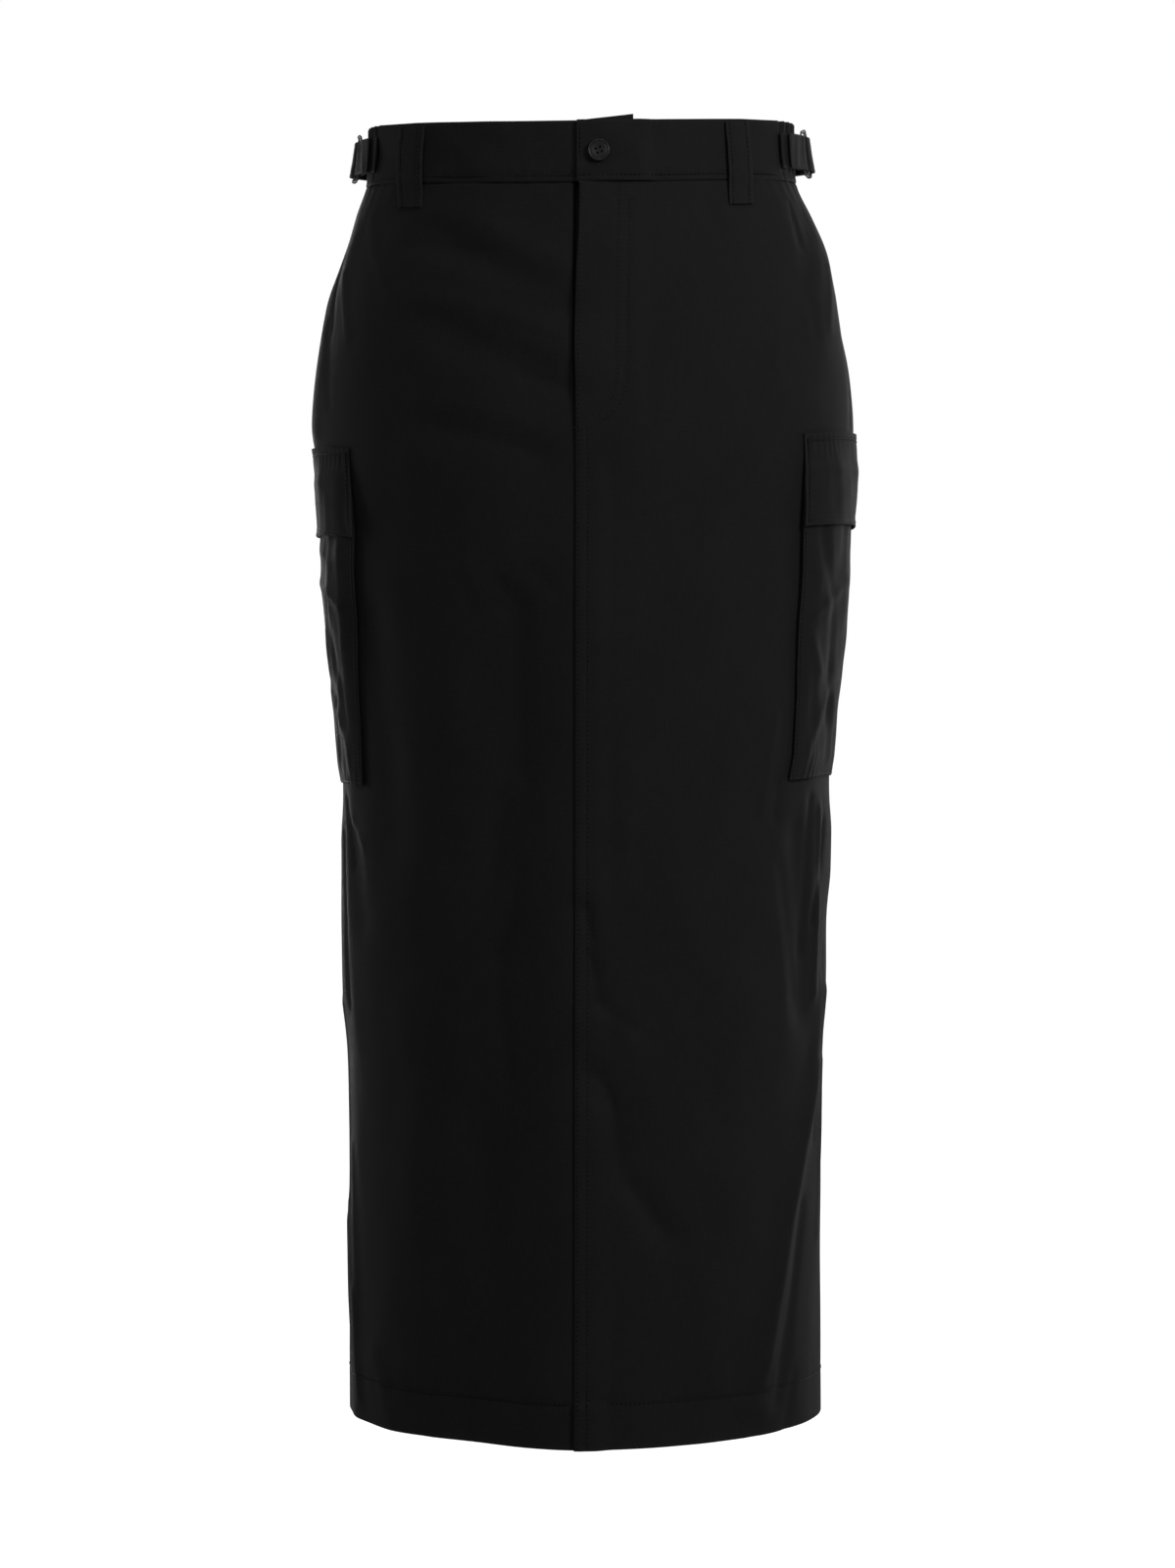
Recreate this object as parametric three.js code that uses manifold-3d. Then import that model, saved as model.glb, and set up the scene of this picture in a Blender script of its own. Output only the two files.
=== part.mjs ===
// A long cargo skirt as it hangs when worn, in millimetres, +Z up, the front towards -Y.
// The origin is the centre of the waist, at half the height of the waistband.
// "Right" and "left" are the wearer's: the right side lies towards -X.
import * as THREE from 'three';
import { mergeVertices } from 'three/addons/utils/BufferGeometryUtils.js';
import Module from 'manifold-3d';

const wasm = await Module();
wasm.setup();

// Cloth and seams
const CLOTH = 1.2;
const BAND_CLOTH = 2.4;
const FLAP_CLOTH = 1.8;
const LOOP_CLOTH = 1.8;
const STRAP_CLOTH = 1.5;
const SEAM_GAP = 0.3;

// Heights, measured down from the origin
const HEM_DROP = 887;
const HEM_TURNUP = 31;
const SEAM_DROP = 21;
const LEVEL_DROP = 165;
const BAND_HEIGHT = 42;
const FLY_END_DROP = 204;

// The waist line dips at the front: middle height of the band = rest + dip cos(angle) + tilt cos(2 angle)
const WAIST_LINE = { rest: 0.375, dip: -11.25, tilt: -3.625 };

// Plan sections of the body: half width, and half depth in front and behind
const ROUNDNESS = 1.92;
const SECTIONS = [
  { drop: -40, width: 152, front: 100, back: 98 },
  { drop: 15, width: 153, front: 100.5, back: 99 },
  { drop: 42, width: 163.5, front: 101.5, back: 106 },
  { drop: 76, width: 175.5, front: 106.5, back: 117 },
  { drop: 129, width: 185.5, front: 113.5, back: 129 },
  { drop: 180, width: 191, front: 118, back: 135 },
  { drop: 215, width: 190, front: 120, back: 135 },
  { drop: 240, width: 186.5, front: 120.5, back: 134 },
  { drop: 269, width: 182.5, front: 121, back: 132 },
  { drop: 304, width: 181.5, front: 121.5, back: 131 },
  { drop: 374, width: 177, front: 122.5, back: 130 },
  { drop: 444, width: 173.2, front: 124, back: 129 },
  { drop: 584, width: 171.5, front: 128, back: 131 },
  { drop: 654, width: 168.4, front: 130, back: 132 },
  { drop: 900, width: 168, front: 137, back: 137 },
];

// Soft folds: from one place to another, given by angle (0 in front, + to the wearer's left) and drop
const DEGREE_LENGTH = 2.6;
const FOLDS = [
  { angle: -50, drop: 60, toAngle: -4, toDrop: 95, reach: 14, rise: -2.5 },
  { angle: -36, drop: 118, toAngle: -3, toDrop: 142, reach: 13, rise: -2 },
  { angle: -10, drop: 330, toAngle: -13, toDrop: 870, reach: 26, rise: -5 },
  { angle: 5, drop: 530, toAngle: 9, toDrop: 595, reach: 14, rise: -2 },
  { angle: 9, drop: 655, toAngle: 24, toDrop: 755, reach: 16, rise: -3 },
  { angle: 72, drop: 620, toAngle: 50, toDrop: 840, reach: 14, rise: 4 },
  { angle: 61, drop: 480, toAngle: 65, toDrop: 600, reach: 14, rise: -3 },
  { angle: -80, drop: 755, toAngle: -68, toDrop: 880, reach: 14, rise: 3 },
  { angle: -70, drop: 480, toAngle: -64, toDrop: 540, reach: 13, rise: -2.5 },
  { angle: -85, drop: 40, toAngle: -74, toDrop: 150, reach: 13, rise: -2 },
  { angle: 72, drop: 45, toAngle: 60, toDrop: 100, reach: 13, rise: -2 },
  { angle: 148, drop: 225, toAngle: 170, toDrop: 262, reach: 17, rise: -2.5 },
  { angle: -150, drop: 238, toAngle: -172, toDrop: 280, reach: 17, rise: -2.5 },
  { angle: 177, drop: 400, toAngle: 172, toDrop: 880, reach: 28, rise: -5 },
  { angle: 132, drop: 560, toAngle: 146, toDrop: 780, reach: 18, rise: -3 },
  { angle: -138, drop: 590, toAngle: -124, toDrop: 830, reach: 17, rise: 3.5 },
];

// Rows of the three body panels, as drops. The hem's turn-up starts between two close rows.
const TURNUP_DROP = HEM_DROP - HEM_TURNUP;
const PANEL_ROWS = [
  SEAM_DROP, 32, 45, 75, 105, 135, LEVEL_DROP, 195, 215, 242, 270, 305, 340, 375, 410, 440, 470,
  505, 540, 580, 620, 660, 700, 740, 780, 820, TURNUP_DROP - 0.3, TURNUP_DROP + 0.3, HEM_DROP,
];

// The left front laps over the right one, widely along the fly and narrowly along the seam below it
const FLY_LAP = 38;
const SEAM_LAP = 12;
const LAP_TAPER = 22;
const LAP_RAMP = 14;
const FLY_STANDING = 2.2;
const SEAM_STANDING = 0.4;
const UNDERLAP_RISE = 4;

// Waistband, outside the body's surface, and its gathers on both sides of each adjuster
const BAND_PROUD = 0.8;
const GATHERS = { start: 4, end: 40, pitch: 9, depth: 2.2 };

// Belt loops: middle of the top and of the bottom, across from the centre
const LOOP_WIDTH = 17;
const LOOP_BELOW_SEAM = 18;
const LOOP_BELOW_TOP = 2;
const LOOPS = [
  { name: 'right', top: -116, bottom: -118.5, behind: false },
  { name: 'left', top: 109.5, bottom: 112.5, behind: false },
  { name: 'back', top: 0, bottom: 0, behind: true },
];

// Side adjusters: height of their middle, and their cloth's width
const ADJUSTER_Z = 2.5;
const STRAP_WIDTH = 27;
const ADJUSTER_LEAN = 0.01;
const BUCKLE = { height: 31.5, width: 13, wire: 1, corner: 3, lift: 8.5 };

// Threading of the tab and the strap, forward of the side line and out from the body
const TAB_ROUTE = [
  [46, 2.05], [37, 2.05], [27, 3.3], [18, 4.9], [12, 6], [7.5, 6.3], [4.8, 6.9], [4.2, 8.5],
  [4.9, 10.1], [7.5, 10.7], [12, 9.4], [18, 7.6], [26, 5.7], [35, 4.4],
];
const STRAP_ROUTE = [
  [-84, 2.05], [-60, 2.05], [-40, 2.3], [-22, 3.8], [-12, 5.7], [-6.5, 6.2], [-1, 6.3], [1.7, 7.1],
  [2.2, 8.5], [1.5, 10.1], [-1.2, 10.8], [-6.5, 11], [-12, 9.6], [-20, 7.3], [-30, 5], [-56, 4.5],
];

// Cargo pockets: the top seam of the flap, and how far they reach forward and back from the side line
const POCKET_RISE = 6.5;
const FACE_BELOW_SEAM = 22;
const FACE_LIFT = 3.5;
const FLAP_OVERHANG = 1.5;
const POCKETS = [
  { name: 'right', side: -1, seam: 211, flap: 62, bottom: 446, forward: 74, forwardAtBottom: 73, back: 82 },
  { name: 'left', side: 1, seam: 203, flap: 65, bottom: 441, forward: 76, forwardAtBottom: 81, back: 82 },
];
const FLAP_LIFTS = [
  { down: 0, lift: 0.5 }, { down: 0.1, lift: 0.7 }, { down: 0.28, lift: 4.6 }, { down: 0.4, lift: 5.4 },
  { down: 0.62, lift: 6.2 }, { down: 0.84, lift: 7.2 }, { down: 1, lift: 7.4 },
];

// Half of a pocket gusset's fold, as reach out from the face's edge and height off the body
const GUSSET_SECTION = [
  [4.6, 0.45], [-9, 0.45], [-10.3, 1.8], [-9, 3.15], [0, 3.15], [0, 2.15], [-8.4, 2.15], [-9, 1.8],
  [-8.4, 1.45], [4.6, 1.45],
];

// The button on the waistband
const BUTTON = { x: 14.5, z: -15, clear: 0.45, hole: 0.8, holeCentre: 1.75 };
const BUTTON_PROFILE = [
  [0, 0], [5.6, 0], [7, 0.6], [7.4, 1.5], [7.1, 2.4], [6.3, 2.8], [5.5, 2.6], [4.6, 1.8], [0, 1.6],
];

const cotton = { color: 0x17171a, roughness: 0.92, metalness: 0 };
const plastic = { color: 0x121214, roughness: 0.35, metalness: 0 };
const metal = { color: 0x1b1b1e, roughness: 0.4, metalness: 0.8 };

const skirt = new THREE.Group();

function addPiece(name, geometry, finish) {
  const mesh = new THREE.Mesh(geometry, new THREE.MeshStandardMaterial(finish));
  mesh.name = name;
  skirt.add(mesh);
}

const radians = THREE.MathUtils.degToRad;
const clamp01 = (value) => THREE.MathUtils.clamp(value, 0, 1);
const signedPower = (value, power) => Math.sign(value) * Math.abs(value) ** power;

// A smooth curve through one column of a table
function readTable(rows, place, column, value) {
  const last = rows.length - 2;
  let i = 0;
  while (i < last && rows[i + 1][place] < value) i += 1;
  const slope = (k) => {
    const a = rows[Math.max(k - 1, 0)];
    const b = rows[Math.min(k + 1, rows.length - 1)];
    return (b[column] - a[column]) / (b[place] - a[place]);
  };
  const span = rows[i + 1][place] - rows[i][place];
  const t = (value - rows[i][place]) / span;
  const u = 1 - t;
  return rows[i][column] * (1 + 2 * t) * u * u + rows[i + 1][column] * t * t * (3 - 2 * t)
    + span * t * u * (u * slope(i) - t * slope(i + 1));
}

function waistLine(angle) {
  return WAIST_LINE.rest + WAIST_LINE.dip * Math.cos(angle) + WAIST_LINE.tilt * Math.cos(2 * angle);
}

// How far the folds move the cloth in or out
function foldRise(angle, drop) {
  let rise = 0;
  for (const fold of FOLDS) {
    const dx = (fold.toAngle - fold.angle) * DEGREE_LENGTH;
    const dz = fold.toDrop - fold.drop;
    let turn = THREE.MathUtils.radToDeg(angle) - fold.angle;
    turn -= 360 * Math.round(turn / 360);
    const x = turn * DEGREE_LENGTH;
    const z = drop - fold.drop;
    const along = clamp01((x * dx + z * dz) / (dx * dx + dz * dz));
    const distance = Math.hypot(x - along * dx, z - along * dz);
    rise += fold.rise * Math.exp(-((distance / fold.reach) ** 2));
  }
  return rise * clamp01((drop - 22) / 30);
}

// A point of the body's outer surface at an angle and height, moved outwards
function onBody(angle, z, out) {
  const width = readTable(SECTIONS, 'drop', 'width', -z);
  const depth = readTable(SECTIONS, 'drop', Math.cos(angle) > 0 ? 'front' : 'back', -z);
  const sine = signedPower(Math.sin(angle), 2 / ROUNDNESS);
  const cosine = signedPower(Math.cos(angle), 2 / ROUNDNESS);
  const normal = new THREE.Vector3(
    signedPower(sine, ROUNDNESS - 1) / width, -signedPower(cosine, ROUNDNESS - 1) / depth, 0,
  ).normalize();
  return normal.multiplyScalar(out + foldRise(angle, -z))
    .add(new THREE.Vector3(width * sine, -depth * cosine, z));
}

// The angle at which the front's surface lies a distance across from the centre
function angleAcross(x, z) {
  const width = readTable(SECTIONS, 'drop', 'width', -z);
  return Math.asin(signedPower(x / width, ROUNDNESS / 2));
}

// The angle a distance round the body from a side line, forwards or (below 0) backwards
function angleFromSide(side, forward, z) {
  const step = radians(1.5) * Math.sign(forward || 1);
  const reach = Math.abs(forward);
  let angle = 0;
  let travelled = 0;
  let here = onSide(0, z);
  while (Math.abs(angle) < Math.PI) {
    const next = onSide(angle + step, z);
    const length = here.distanceTo(next);
    if (travelled + length >= reach) {
      return side * (Math.PI / 2 - angle - step * (reach - travelled) / length);
    }
    travelled += length;
    angle += step;
    here = next;
  }
  throw new Error(`No place ${forward} mm from the side line`);
}

function onSide(turn, z) {
  const angle = Math.PI / 2 - turn;
  const width = readTable(SECTIONS, 'drop', 'width', -z);
  const depth = readTable(SECTIONS, 'drop', turn > 0 ? 'front' : 'back', -z);
  return new THREE.Vector3(
    width * signedPower(Math.sin(angle), 2 / ROUNDNESS),
    -depth * signedPower(Math.cos(angle), 2 / ROUNDNESS), z,
  );
}

// Closed solids, turned so that their faces look outwards
function closedSolid(points, triangles) {
  let volume = 0;
  for (const [a, b, c] of triangles) {
    volume += points[a].dot(new THREE.Vector3().crossVectors(points[b], points[c]));
  }
  const index = volume > 0 ? triangles : triangles.map(([a, b, c]) => [a, c, b]);
  const geometry = new THREE.BufferGeometry().setFromPoints(points);
  geometry.setIndex(index.flat());
  geometry.computeVertexNormals();
  return geometry;
}

// A wall of cloth over a grid: place(row, column, inner) gives the points of its two faces
function clothWall(rows, columns, place) {
  const points = [];
  for (const inner of [false, true]) {
    for (let r = 0; r <= rows; r += 1) {
      for (let c = 0; c <= columns; c += 1) points.push(place(r, c, inner));
    }
  }
  const size = (rows + 1) * (columns + 1);
  const id = (r, c, inner) => r * (columns + 1) + c + (inner ? size : 0);
  const triangles = [];
  const quad = (a, b, c, d) => triangles.push([a, b, c], [a, c, d]);
  for (let r = 0; r < rows; r += 1) {
    for (let c = 0; c < columns; c += 1) {
      quad(id(r, c), id(r, c + 1), id(r + 1, c + 1), id(r + 1, c));
      quad(id(r, c, 1), id(r + 1, c, 1), id(r + 1, c + 1, 1), id(r, c + 1, 1));
    }
    quad(id(r, 0), id(r + 1, 0), id(r + 1, 0, 1), id(r, 0, 1));
    quad(id(r, columns), id(r, columns, 1), id(r + 1, columns, 1), id(r + 1, columns));
  }
  for (let c = 0; c < columns; c += 1) {
    quad(id(0, c), id(0, c, 1), id(0, c + 1, 1), id(0, c + 1));
    quad(id(rows, c), id(rows, c + 1), id(rows, c + 1, 1), id(rows, c, 1));
  }
  return closedSolid(points, triangles);
}

// A closed outline carried along stations: place(outlinePoint, station) gives its points
function sweep(outline, stations, place, joined = false) {
  const count = outline.length;
  const points = stations.flatMap((station) => outline.map((point) => place(point, station)));
  const triangles = [];
  const spans = joined ? stations.length : stations.length - 1;
  for (let s = 0; s < spans; s += 1) {
    const here = s * count;
    const next = ((s + 1) % stations.length) * count;
    for (let k = 0; k < count; k += 1) {
      const m = (k + 1) % count;
      triangles.push([here + k, here + m, next + m], [here + k, next + m, next + k]);
    }
  }
  if (!joined) {
    const flat = outline.map(([u, v]) => new THREE.Vector2(u, v));
    const turned = THREE.ShapeUtils.isClockWise(flat);
    const end = (stations.length - 1) * count;
    for (const [a, b, c] of THREE.ShapeUtils.triangulateShape(flat, [])) {
      triangles.push(turned ? [a, b, c] : [a, c, b], turned ? [end + a, end + c, end + b] : [end + a, end + b, end + c]);
    }
  }
  return closedSolid(points, triangles);
}

// The outline of a strip of cloth, seen edge-on, from the line along its middle
function stripOutline(route, thickness, steps) {
  const middle = new THREE.SplineCurve(route.map(([u, v]) => new THREE.Vector2(u, v))).getPoints(steps);
  const side = (sign) => middle.map((point, i) => {
    const along = middle[Math.min(i + 1, steps)].clone().sub(middle[Math.max(i - 1, 0)]).normalize();
    return [point.x - along.y * sign * thickness / 2, point.y + along.x * sign * thickness / 2];
  });
  return [...side(1), ...side(-1).reverse()];
}

const spread = (from, to, count) => Array.from({ length: count + 1 }, (_, i) => from + (to - from) * i / count);

// The body panels

function rowHeight(drop, angle) {
  const level = clamp01((LEVEL_DROP - drop) / (LEVEL_DROP - SEAM_DROP));
  const seam = waistLine(angle) - BAND_HEIGHT / 2 - SEAM_GAP / 2;
  return -drop + (seam + SEAM_DROP) * level;
}

// A point of the panels' own faces, straight between their rows, moved outwards
function onPanel(angle, z, out) {
  if (z >= rowHeight(SEAM_DROP, angle)) return onBody(angle, z, out);
  let r = 0;
  while (r < PANEL_ROWS.length - 2 && rowHeight(PANEL_ROWS[r + 1], angle) > z) r += 1;
  const high = rowHeight(PANEL_ROWS[r], angle);
  const low = rowHeight(PANEL_ROWS[r + 1], angle);
  return onBody(angle, high, out).lerp(onBody(angle, low, out), (high - z) / (high - low));
}

const thickness = (drop) => (drop > TURNUP_DROP ? 2 * CLOTH : CLOTH);

function lapWidth(drop) {
  return THREE.MathUtils.lerp(FLY_LAP, SEAM_LAP, clamp01((drop - FLY_END_DROP) / LAP_TAPER));
}

// How far the left front stands out over the right one
function lapRise(x, drop) {
  const lap = lapWidth(drop);
  const fly = clamp01((FLY_END_DROP + LAP_TAPER - drop) / 60);
  const edge = THREE.MathUtils.lerp(SEAM_STANDING, FLY_STANDING, fly) * (1 - clamp01(x / lap));
  return (thickness(drop) + SEAM_GAP) * (1 - clamp01((x - lap - 2) / LAP_RAMP)) + edge;
}

function frontPanel(side) {
  const across = side > 0
    ? (lap) => [0, lap / 2, lap, lap + 2, lap + 2 + LAP_RAMP]
    : (lap) => [lap, lap / 2, 0, -SEAM_LAP];
  const even = side > 0 ? 12 : 14;
  const columns = across(0).length + even - 1;
  return clothWall(PANEL_ROWS.length - 1, columns, (row, column, inner) => {
    const drop = PANEL_ROWS[row];
    const near = across(lapWidth(drop));
    const place = (angle, out) => onBody(angle, rowHeight(drop, angle), out - (inner ? thickness(drop) : 0));
    if (column < near.length) {
      const angle = angleAcross(near[column], rowHeight(drop, 0));
      return place(angle, side > 0 ? lapRise(near[column], drop) : 0);
    }
    const start = angleAcross(near[near.length - 1], rowHeight(drop, 0));
    const width = readTable(SECTIONS, 'drop', 'width', drop);
    const end = side * (Math.PI / 2 - SEAM_GAP / 2 / width);
    return place(THREE.MathUtils.lerp(start, end, (column - near.length + 1) / even), 0);
  });
}

addPiece('front_right', frontPanel(-1), cotton);
addPiece('front_left', frontPanel(1), cotton);

const BACK_COLUMNS = 26;
addPiece('back', clothWall(PANEL_ROWS.length - 1, BACK_COLUMNS, (row, column, inner) => {
  const drop = PANEL_ROWS[row];
  const edge = Math.PI / 2 + SEAM_GAP / 2 / readTable(SECTIONS, 'drop', 'width', drop);
  const angle = THREE.MathUtils.lerp(edge, 2 * Math.PI - edge, column / BACK_COLUMNS);
  return onBody(angle, rowHeight(drop, angle), inner ? -thickness(drop) : 0);
}), cotton);

// The waistband

// How far a gather draws the band in, a distance round the body from the side line
function gatherDepth(fromSide) {
  const reach = Math.abs(fromSide);
  if (reach < GATHERS.start || reach > GATHERS.end) return 0;
  return GATHERS.depth * Math.sin(Math.PI * (reach - GATHERS.start) / GATHERS.pitch) ** 2;
}

const BAND_SECTION = [[0, 0], [0.5, 0], [1, 0], [1, 1], [0.5, 1], [0, 1]];

function band(stations) {
  return sweep(BAND_SECTION, stations, ([up, inner], station) => {
    const base = waistLine(station.angle) + (up - 0.5) * BAND_HEIGHT;
    const z = base + (1 - 2 * up) * SEAM_GAP / 2 + up * (station.rise || 0);
    const drawn = (station.gather || 0) * up;
    return onBody(station.angle, z, BAND_PROUD + (station.out || 0) - drawn - inner * BAND_CLOTH);
  });
}

function sideStation(side, forward) {
  return { angle: angleFromSide(side, forward, 0), gather: gatherDepth(forward) };
}

const sideStations = (side, from, to, count) => spread(from, to, count).map((forward) => sideStation(side, forward));

const GATHER_STEPS = 16;
const BAND_LAP = BAND_CLOTH + SEAM_GAP;
const acrossBand = (x, more) => ({ angle: angleAcross(x, 0), ...more });
const bandSpan = (from, to, count) => spread(from, to, count).map((x) => acrossBand(x, {}));

addPiece('waistband_right', band([
  acrossBand(FLY_LAP, { rise: UNDERLAP_RISE }), acrossBand(FLY_LAP / 2, { rise: UNDERLAP_RISE / 2 }),
  ...bandSpan(0, -112, 7),
  ...sideStations(-1, GATHERS.end, GATHERS.start, GATHER_STEPS), sideStation(-1, SEAM_GAP / 2),
]), cotton);
addPiece('waistband_left', band([
  acrossBand(0, { out: BAND_LAP }), acrossBand(FLY_LAP / 2, { out: BAND_LAP }),
  acrossBand(FLY_LAP, { out: BAND_LAP }), acrossBand(FLY_LAP + 2, { out: BAND_LAP }),
  ...bandSpan(FLY_LAP + 2 + LAP_RAMP, 112, 4),
  ...sideStations(1, GATHERS.end, GATHERS.start, GATHER_STEPS), sideStation(1, SEAM_GAP / 2),
]), cotton);
addPiece('waistband_back', band([
  sideStation(1, -SEAM_GAP / 2), ...sideStations(1, -GATHERS.start, -GATHERS.end, GATHER_STEPS),
  ...spread(122, 238, 10).map((angle) => ({ angle: radians(angle) })),
  ...sideStations(-1, -GATHERS.end, -GATHERS.start, GATHER_STEPS), sideStation(-1, -SEAM_GAP / 2),
]), cotton);

// The belt loops, sewn down at both ends and standing off in between

for (const loop of LOOPS) {
  const base = SEAM_GAP + LOOP_CLOTH / 2;
  const length = BAND_HEIGHT + LOOP_BELOW_SEAM - LOOP_BELOW_TOP;
  const route = [
    [0, base], [7, base], [15, base + 1.4], [24, base + 2.2], [40, base + 2.2], [52, base + 1],
    [length, base + BAND_PROUD],
  ];
  addPiece(`belt_loop_${loop.name}`, sweep(stripOutline(route, LOOP_CLOTH, 14), spread(-0.5, 0.5, 3),
    ([up, out], across) => {
      const middle = THREE.MathUtils.lerp(loop.bottom, loop.top, up / length);
      const x = middle + across * LOOP_WIDTH;
      const front = angleAcross(x, -SEAM_DROP);
      const angle = loop.behind ? Math.PI - front : front;
      const seam = waistLine(angle) - BAND_HEIGHT / 2;
      return onPanel(angle, seam - LOOP_BELOW_SEAM + up, out);
    }), cotton);
}

// The side adjusters: the tab holds the buckle, the strap runs through it and turns back

for (const [name, side] of [['right', -1], ['left', 1]]) {
  const place = (forward, up, out) => onBody(
    angleFromSide(side, forward, ADJUSTER_Z), ADJUSTER_Z + up, out * (1 - ADJUSTER_LEAN * up),
  );
  const strip = (route, steps) => sweep(
    stripOutline(route, STRAP_CLOTH, steps), [-STRAP_WIDTH / 2, STRAP_WIDTH / 2],
    ([forward, out], up) => place(forward, up, out),
  );
  addPiece(`adjuster_tab_${name}`, strip(TAB_ROUTE, 26), cotton);
  addPiece(`adjuster_strap_${name}`, strip(STRAP_ROUTE, 30), cotton);

  // A wire frame with round corners, and a bar across its middle
  const bend = BUCKLE.corner;
  const corners = [[1, 1], [-1, 1], [-1, -1], [1, -1]];
  const frame = corners.flatMap(([u, v], k) => [0, 1, 2, 3].map((step) => {
    const turn = Math.PI / 2 * (k + step / 3);
    return {
      forward: u * (BUCKLE.width / 2 - bend) + bend * Math.cos(turn),
      up: v * (BUCKLE.height / 2 - bend) + bend * Math.sin(turn),
      out: [Math.cos(turn), Math.sin(turn)],
    };
  }));
  const wireSection = spread(0, 7, 7).map((k) => [Math.cos(Math.PI * k / 4), Math.sin(Math.PI * k / 4)]);
  const ring = sweep(wireSection, frame, ([u, v], station) => place(
    station.forward + station.out[0] * u * BUCKLE.wire, station.up + station.out[1] * u * BUCKLE.wire,
    BUCKLE.lift + v * BUCKLE.wire,
  ), true);
  const bar = sweep(wireSection, [-BUCKLE.height / 2, BUCKLE.height / 2], ([u, v], up) => place(
    u * BUCKLE.wire, up, BUCKLE.lift + v * BUCKLE.wire,
  ));
  addPiece(`adjuster_buckle_${name}`, fromManifold(toManifold(ring).add(toManifold(bar))), metal);
}

// The cargo pockets, laid on the body round each side line

for (const pocket of POCKETS) {
  const middle = (pocket.forward - pocket.back) / 2;
  const half = (pocket.forward + pocket.back) / 2;
  const hump = (forward) => POCKET_RISE * (1 - clamp01(Math.abs(forward - middle) / half) ** 2);
  const place = (forward, drop, out) => {
    const depth = (drop - pocket.seam) / (pocket.bottom - pocket.seam);
    const z = -drop + hump(forward) * (1 - 0.5 * depth);
    const spreading = forward > 0 ? THREE.MathUtils.lerp(1, pocket.forwardAtBottom / pocket.forward, depth) : 1;
    return onPanel(angleFromSide(pocket.side, forward * spreading, z), z, out);
  };
  const mouth = pocket.seam + FACE_BELOW_SEAM;

  // The gusset: down the front edge, along the bottom and up the back edge
  const downwards = spread(mouth, pocket.bottom, 6);
  const backwards = spread(pocket.forward, -pocket.back, 12);
  const stations = [
    ...downwards.slice(0, -1).map((drop) => ({ forward: pocket.forward, drop, out: [1, 0] })),
    { forward: pocket.forward, drop: pocket.bottom, out: [1, 1] },
    ...backwards.slice(1, -1).map((forward) => ({ forward, drop: pocket.bottom, out: [0, 1] })),
    { forward: -pocket.back, drop: pocket.bottom, out: [-1, 1] },
    ...downwards.slice(0, -1).reverse().map((drop) => ({ forward: -pocket.back, drop, out: [-1, 0] })),
  ];
  addPiece(`pocket_gusset_${pocket.name}`, sweep(GUSSET_SECTION, stations, ([reach, lift], station) => place(
    station.forward + reach * station.out[0], station.drop + reach * station.out[1], lift,
  )), cotton);

  addPiece(`pocket_face_${pocket.name}`, clothWall(7, 14, (row, column, inner) => place(
    THREE.MathUtils.lerp(pocket.forward, -pocket.back, column / 14),
    THREE.MathUtils.lerp(mouth, pocket.bottom, row / 7), FACE_LIFT + (inner ? 0 : CLOTH),
  )), cotton);

  addPiece(`pocket_flap_${pocket.name}`, clothWall(FLAP_LIFTS.length - 1, 14, (row, column, inner) => {
    const { down, lift } = FLAP_LIFTS[row];
    const forward = THREE.MathUtils.lerp(
      pocket.forward + FLAP_OVERHANG, -pocket.back - FLAP_OVERHANG, column / 14,
    );
    return place(forward, pocket.seam + down * pocket.flap, lift + (inner ? 0 : FLAP_CLOTH));
  }), cotton);
}

// The button: a lathed disc with a dished middle and four holes

function toManifold(geometry) {
  const bare = geometry.clone().deleteAttribute('normal').deleteAttribute('uv');
  const merged = mergeVertices(bare, 1e-4);
  return new wasm.Manifold(new wasm.Mesh({
    numProp: 3,
    vertProperties: new Float32Array(merged.attributes.position.array),
    triVerts: new Uint32Array(merged.index.array),
  }));
}

function fromManifold(solid) {
  const { vertProperties, triVerts } = solid.getMesh();
  const geometry = new THREE.BufferGeometry();
  geometry.setAttribute('position', new THREE.BufferAttribute(vertProperties, 3));
  geometry.setIndex(new THREE.BufferAttribute(triVerts, 1));
  geometry.computeVertexNormals();
  return geometry;
}

let disc = toManifold(new THREE.LatheGeometry(BUTTON_PROFILE.map(([r, h]) => new THREE.Vector2(r, h)), 28));
for (const [u, v] of [[1, 1], [1, -1], [-1, 1], [-1, -1]]) {
  const drill = new THREE.CylinderGeometry(BUTTON.hole, BUTTON.hole, 10, 8);
  drill.translate(u * BUTTON.holeCentre / Math.SQRT2, 0, v * BUTTON.holeCentre / Math.SQRT2);
  disc = disc.subtract(toManifold(drill));
}
const buttonAngle = angleAcross(BUTTON.x, BUTTON.z);
const bandFace = onBody(buttonAngle, BUTTON.z, BAND_PROUD + BAND_LAP + BUTTON.clear);
const outwards = onBody(buttonAngle, BUTTON.z, 50).sub(onBody(buttonAngle, BUTTON.z, 0)).normalize();
addPiece('waist_button', fromManifold(disc), plastic);
const button = skirt.children[skirt.children.length - 1];
button.quaternion.setFromUnitVectors(new THREE.Vector3(0, 1, 0), outwards);
button.position.copy(bandFace);

export default skirt;
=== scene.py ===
# A long black cargo skirt in the shape it has when worn, seen from the front on white.
import math

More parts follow.
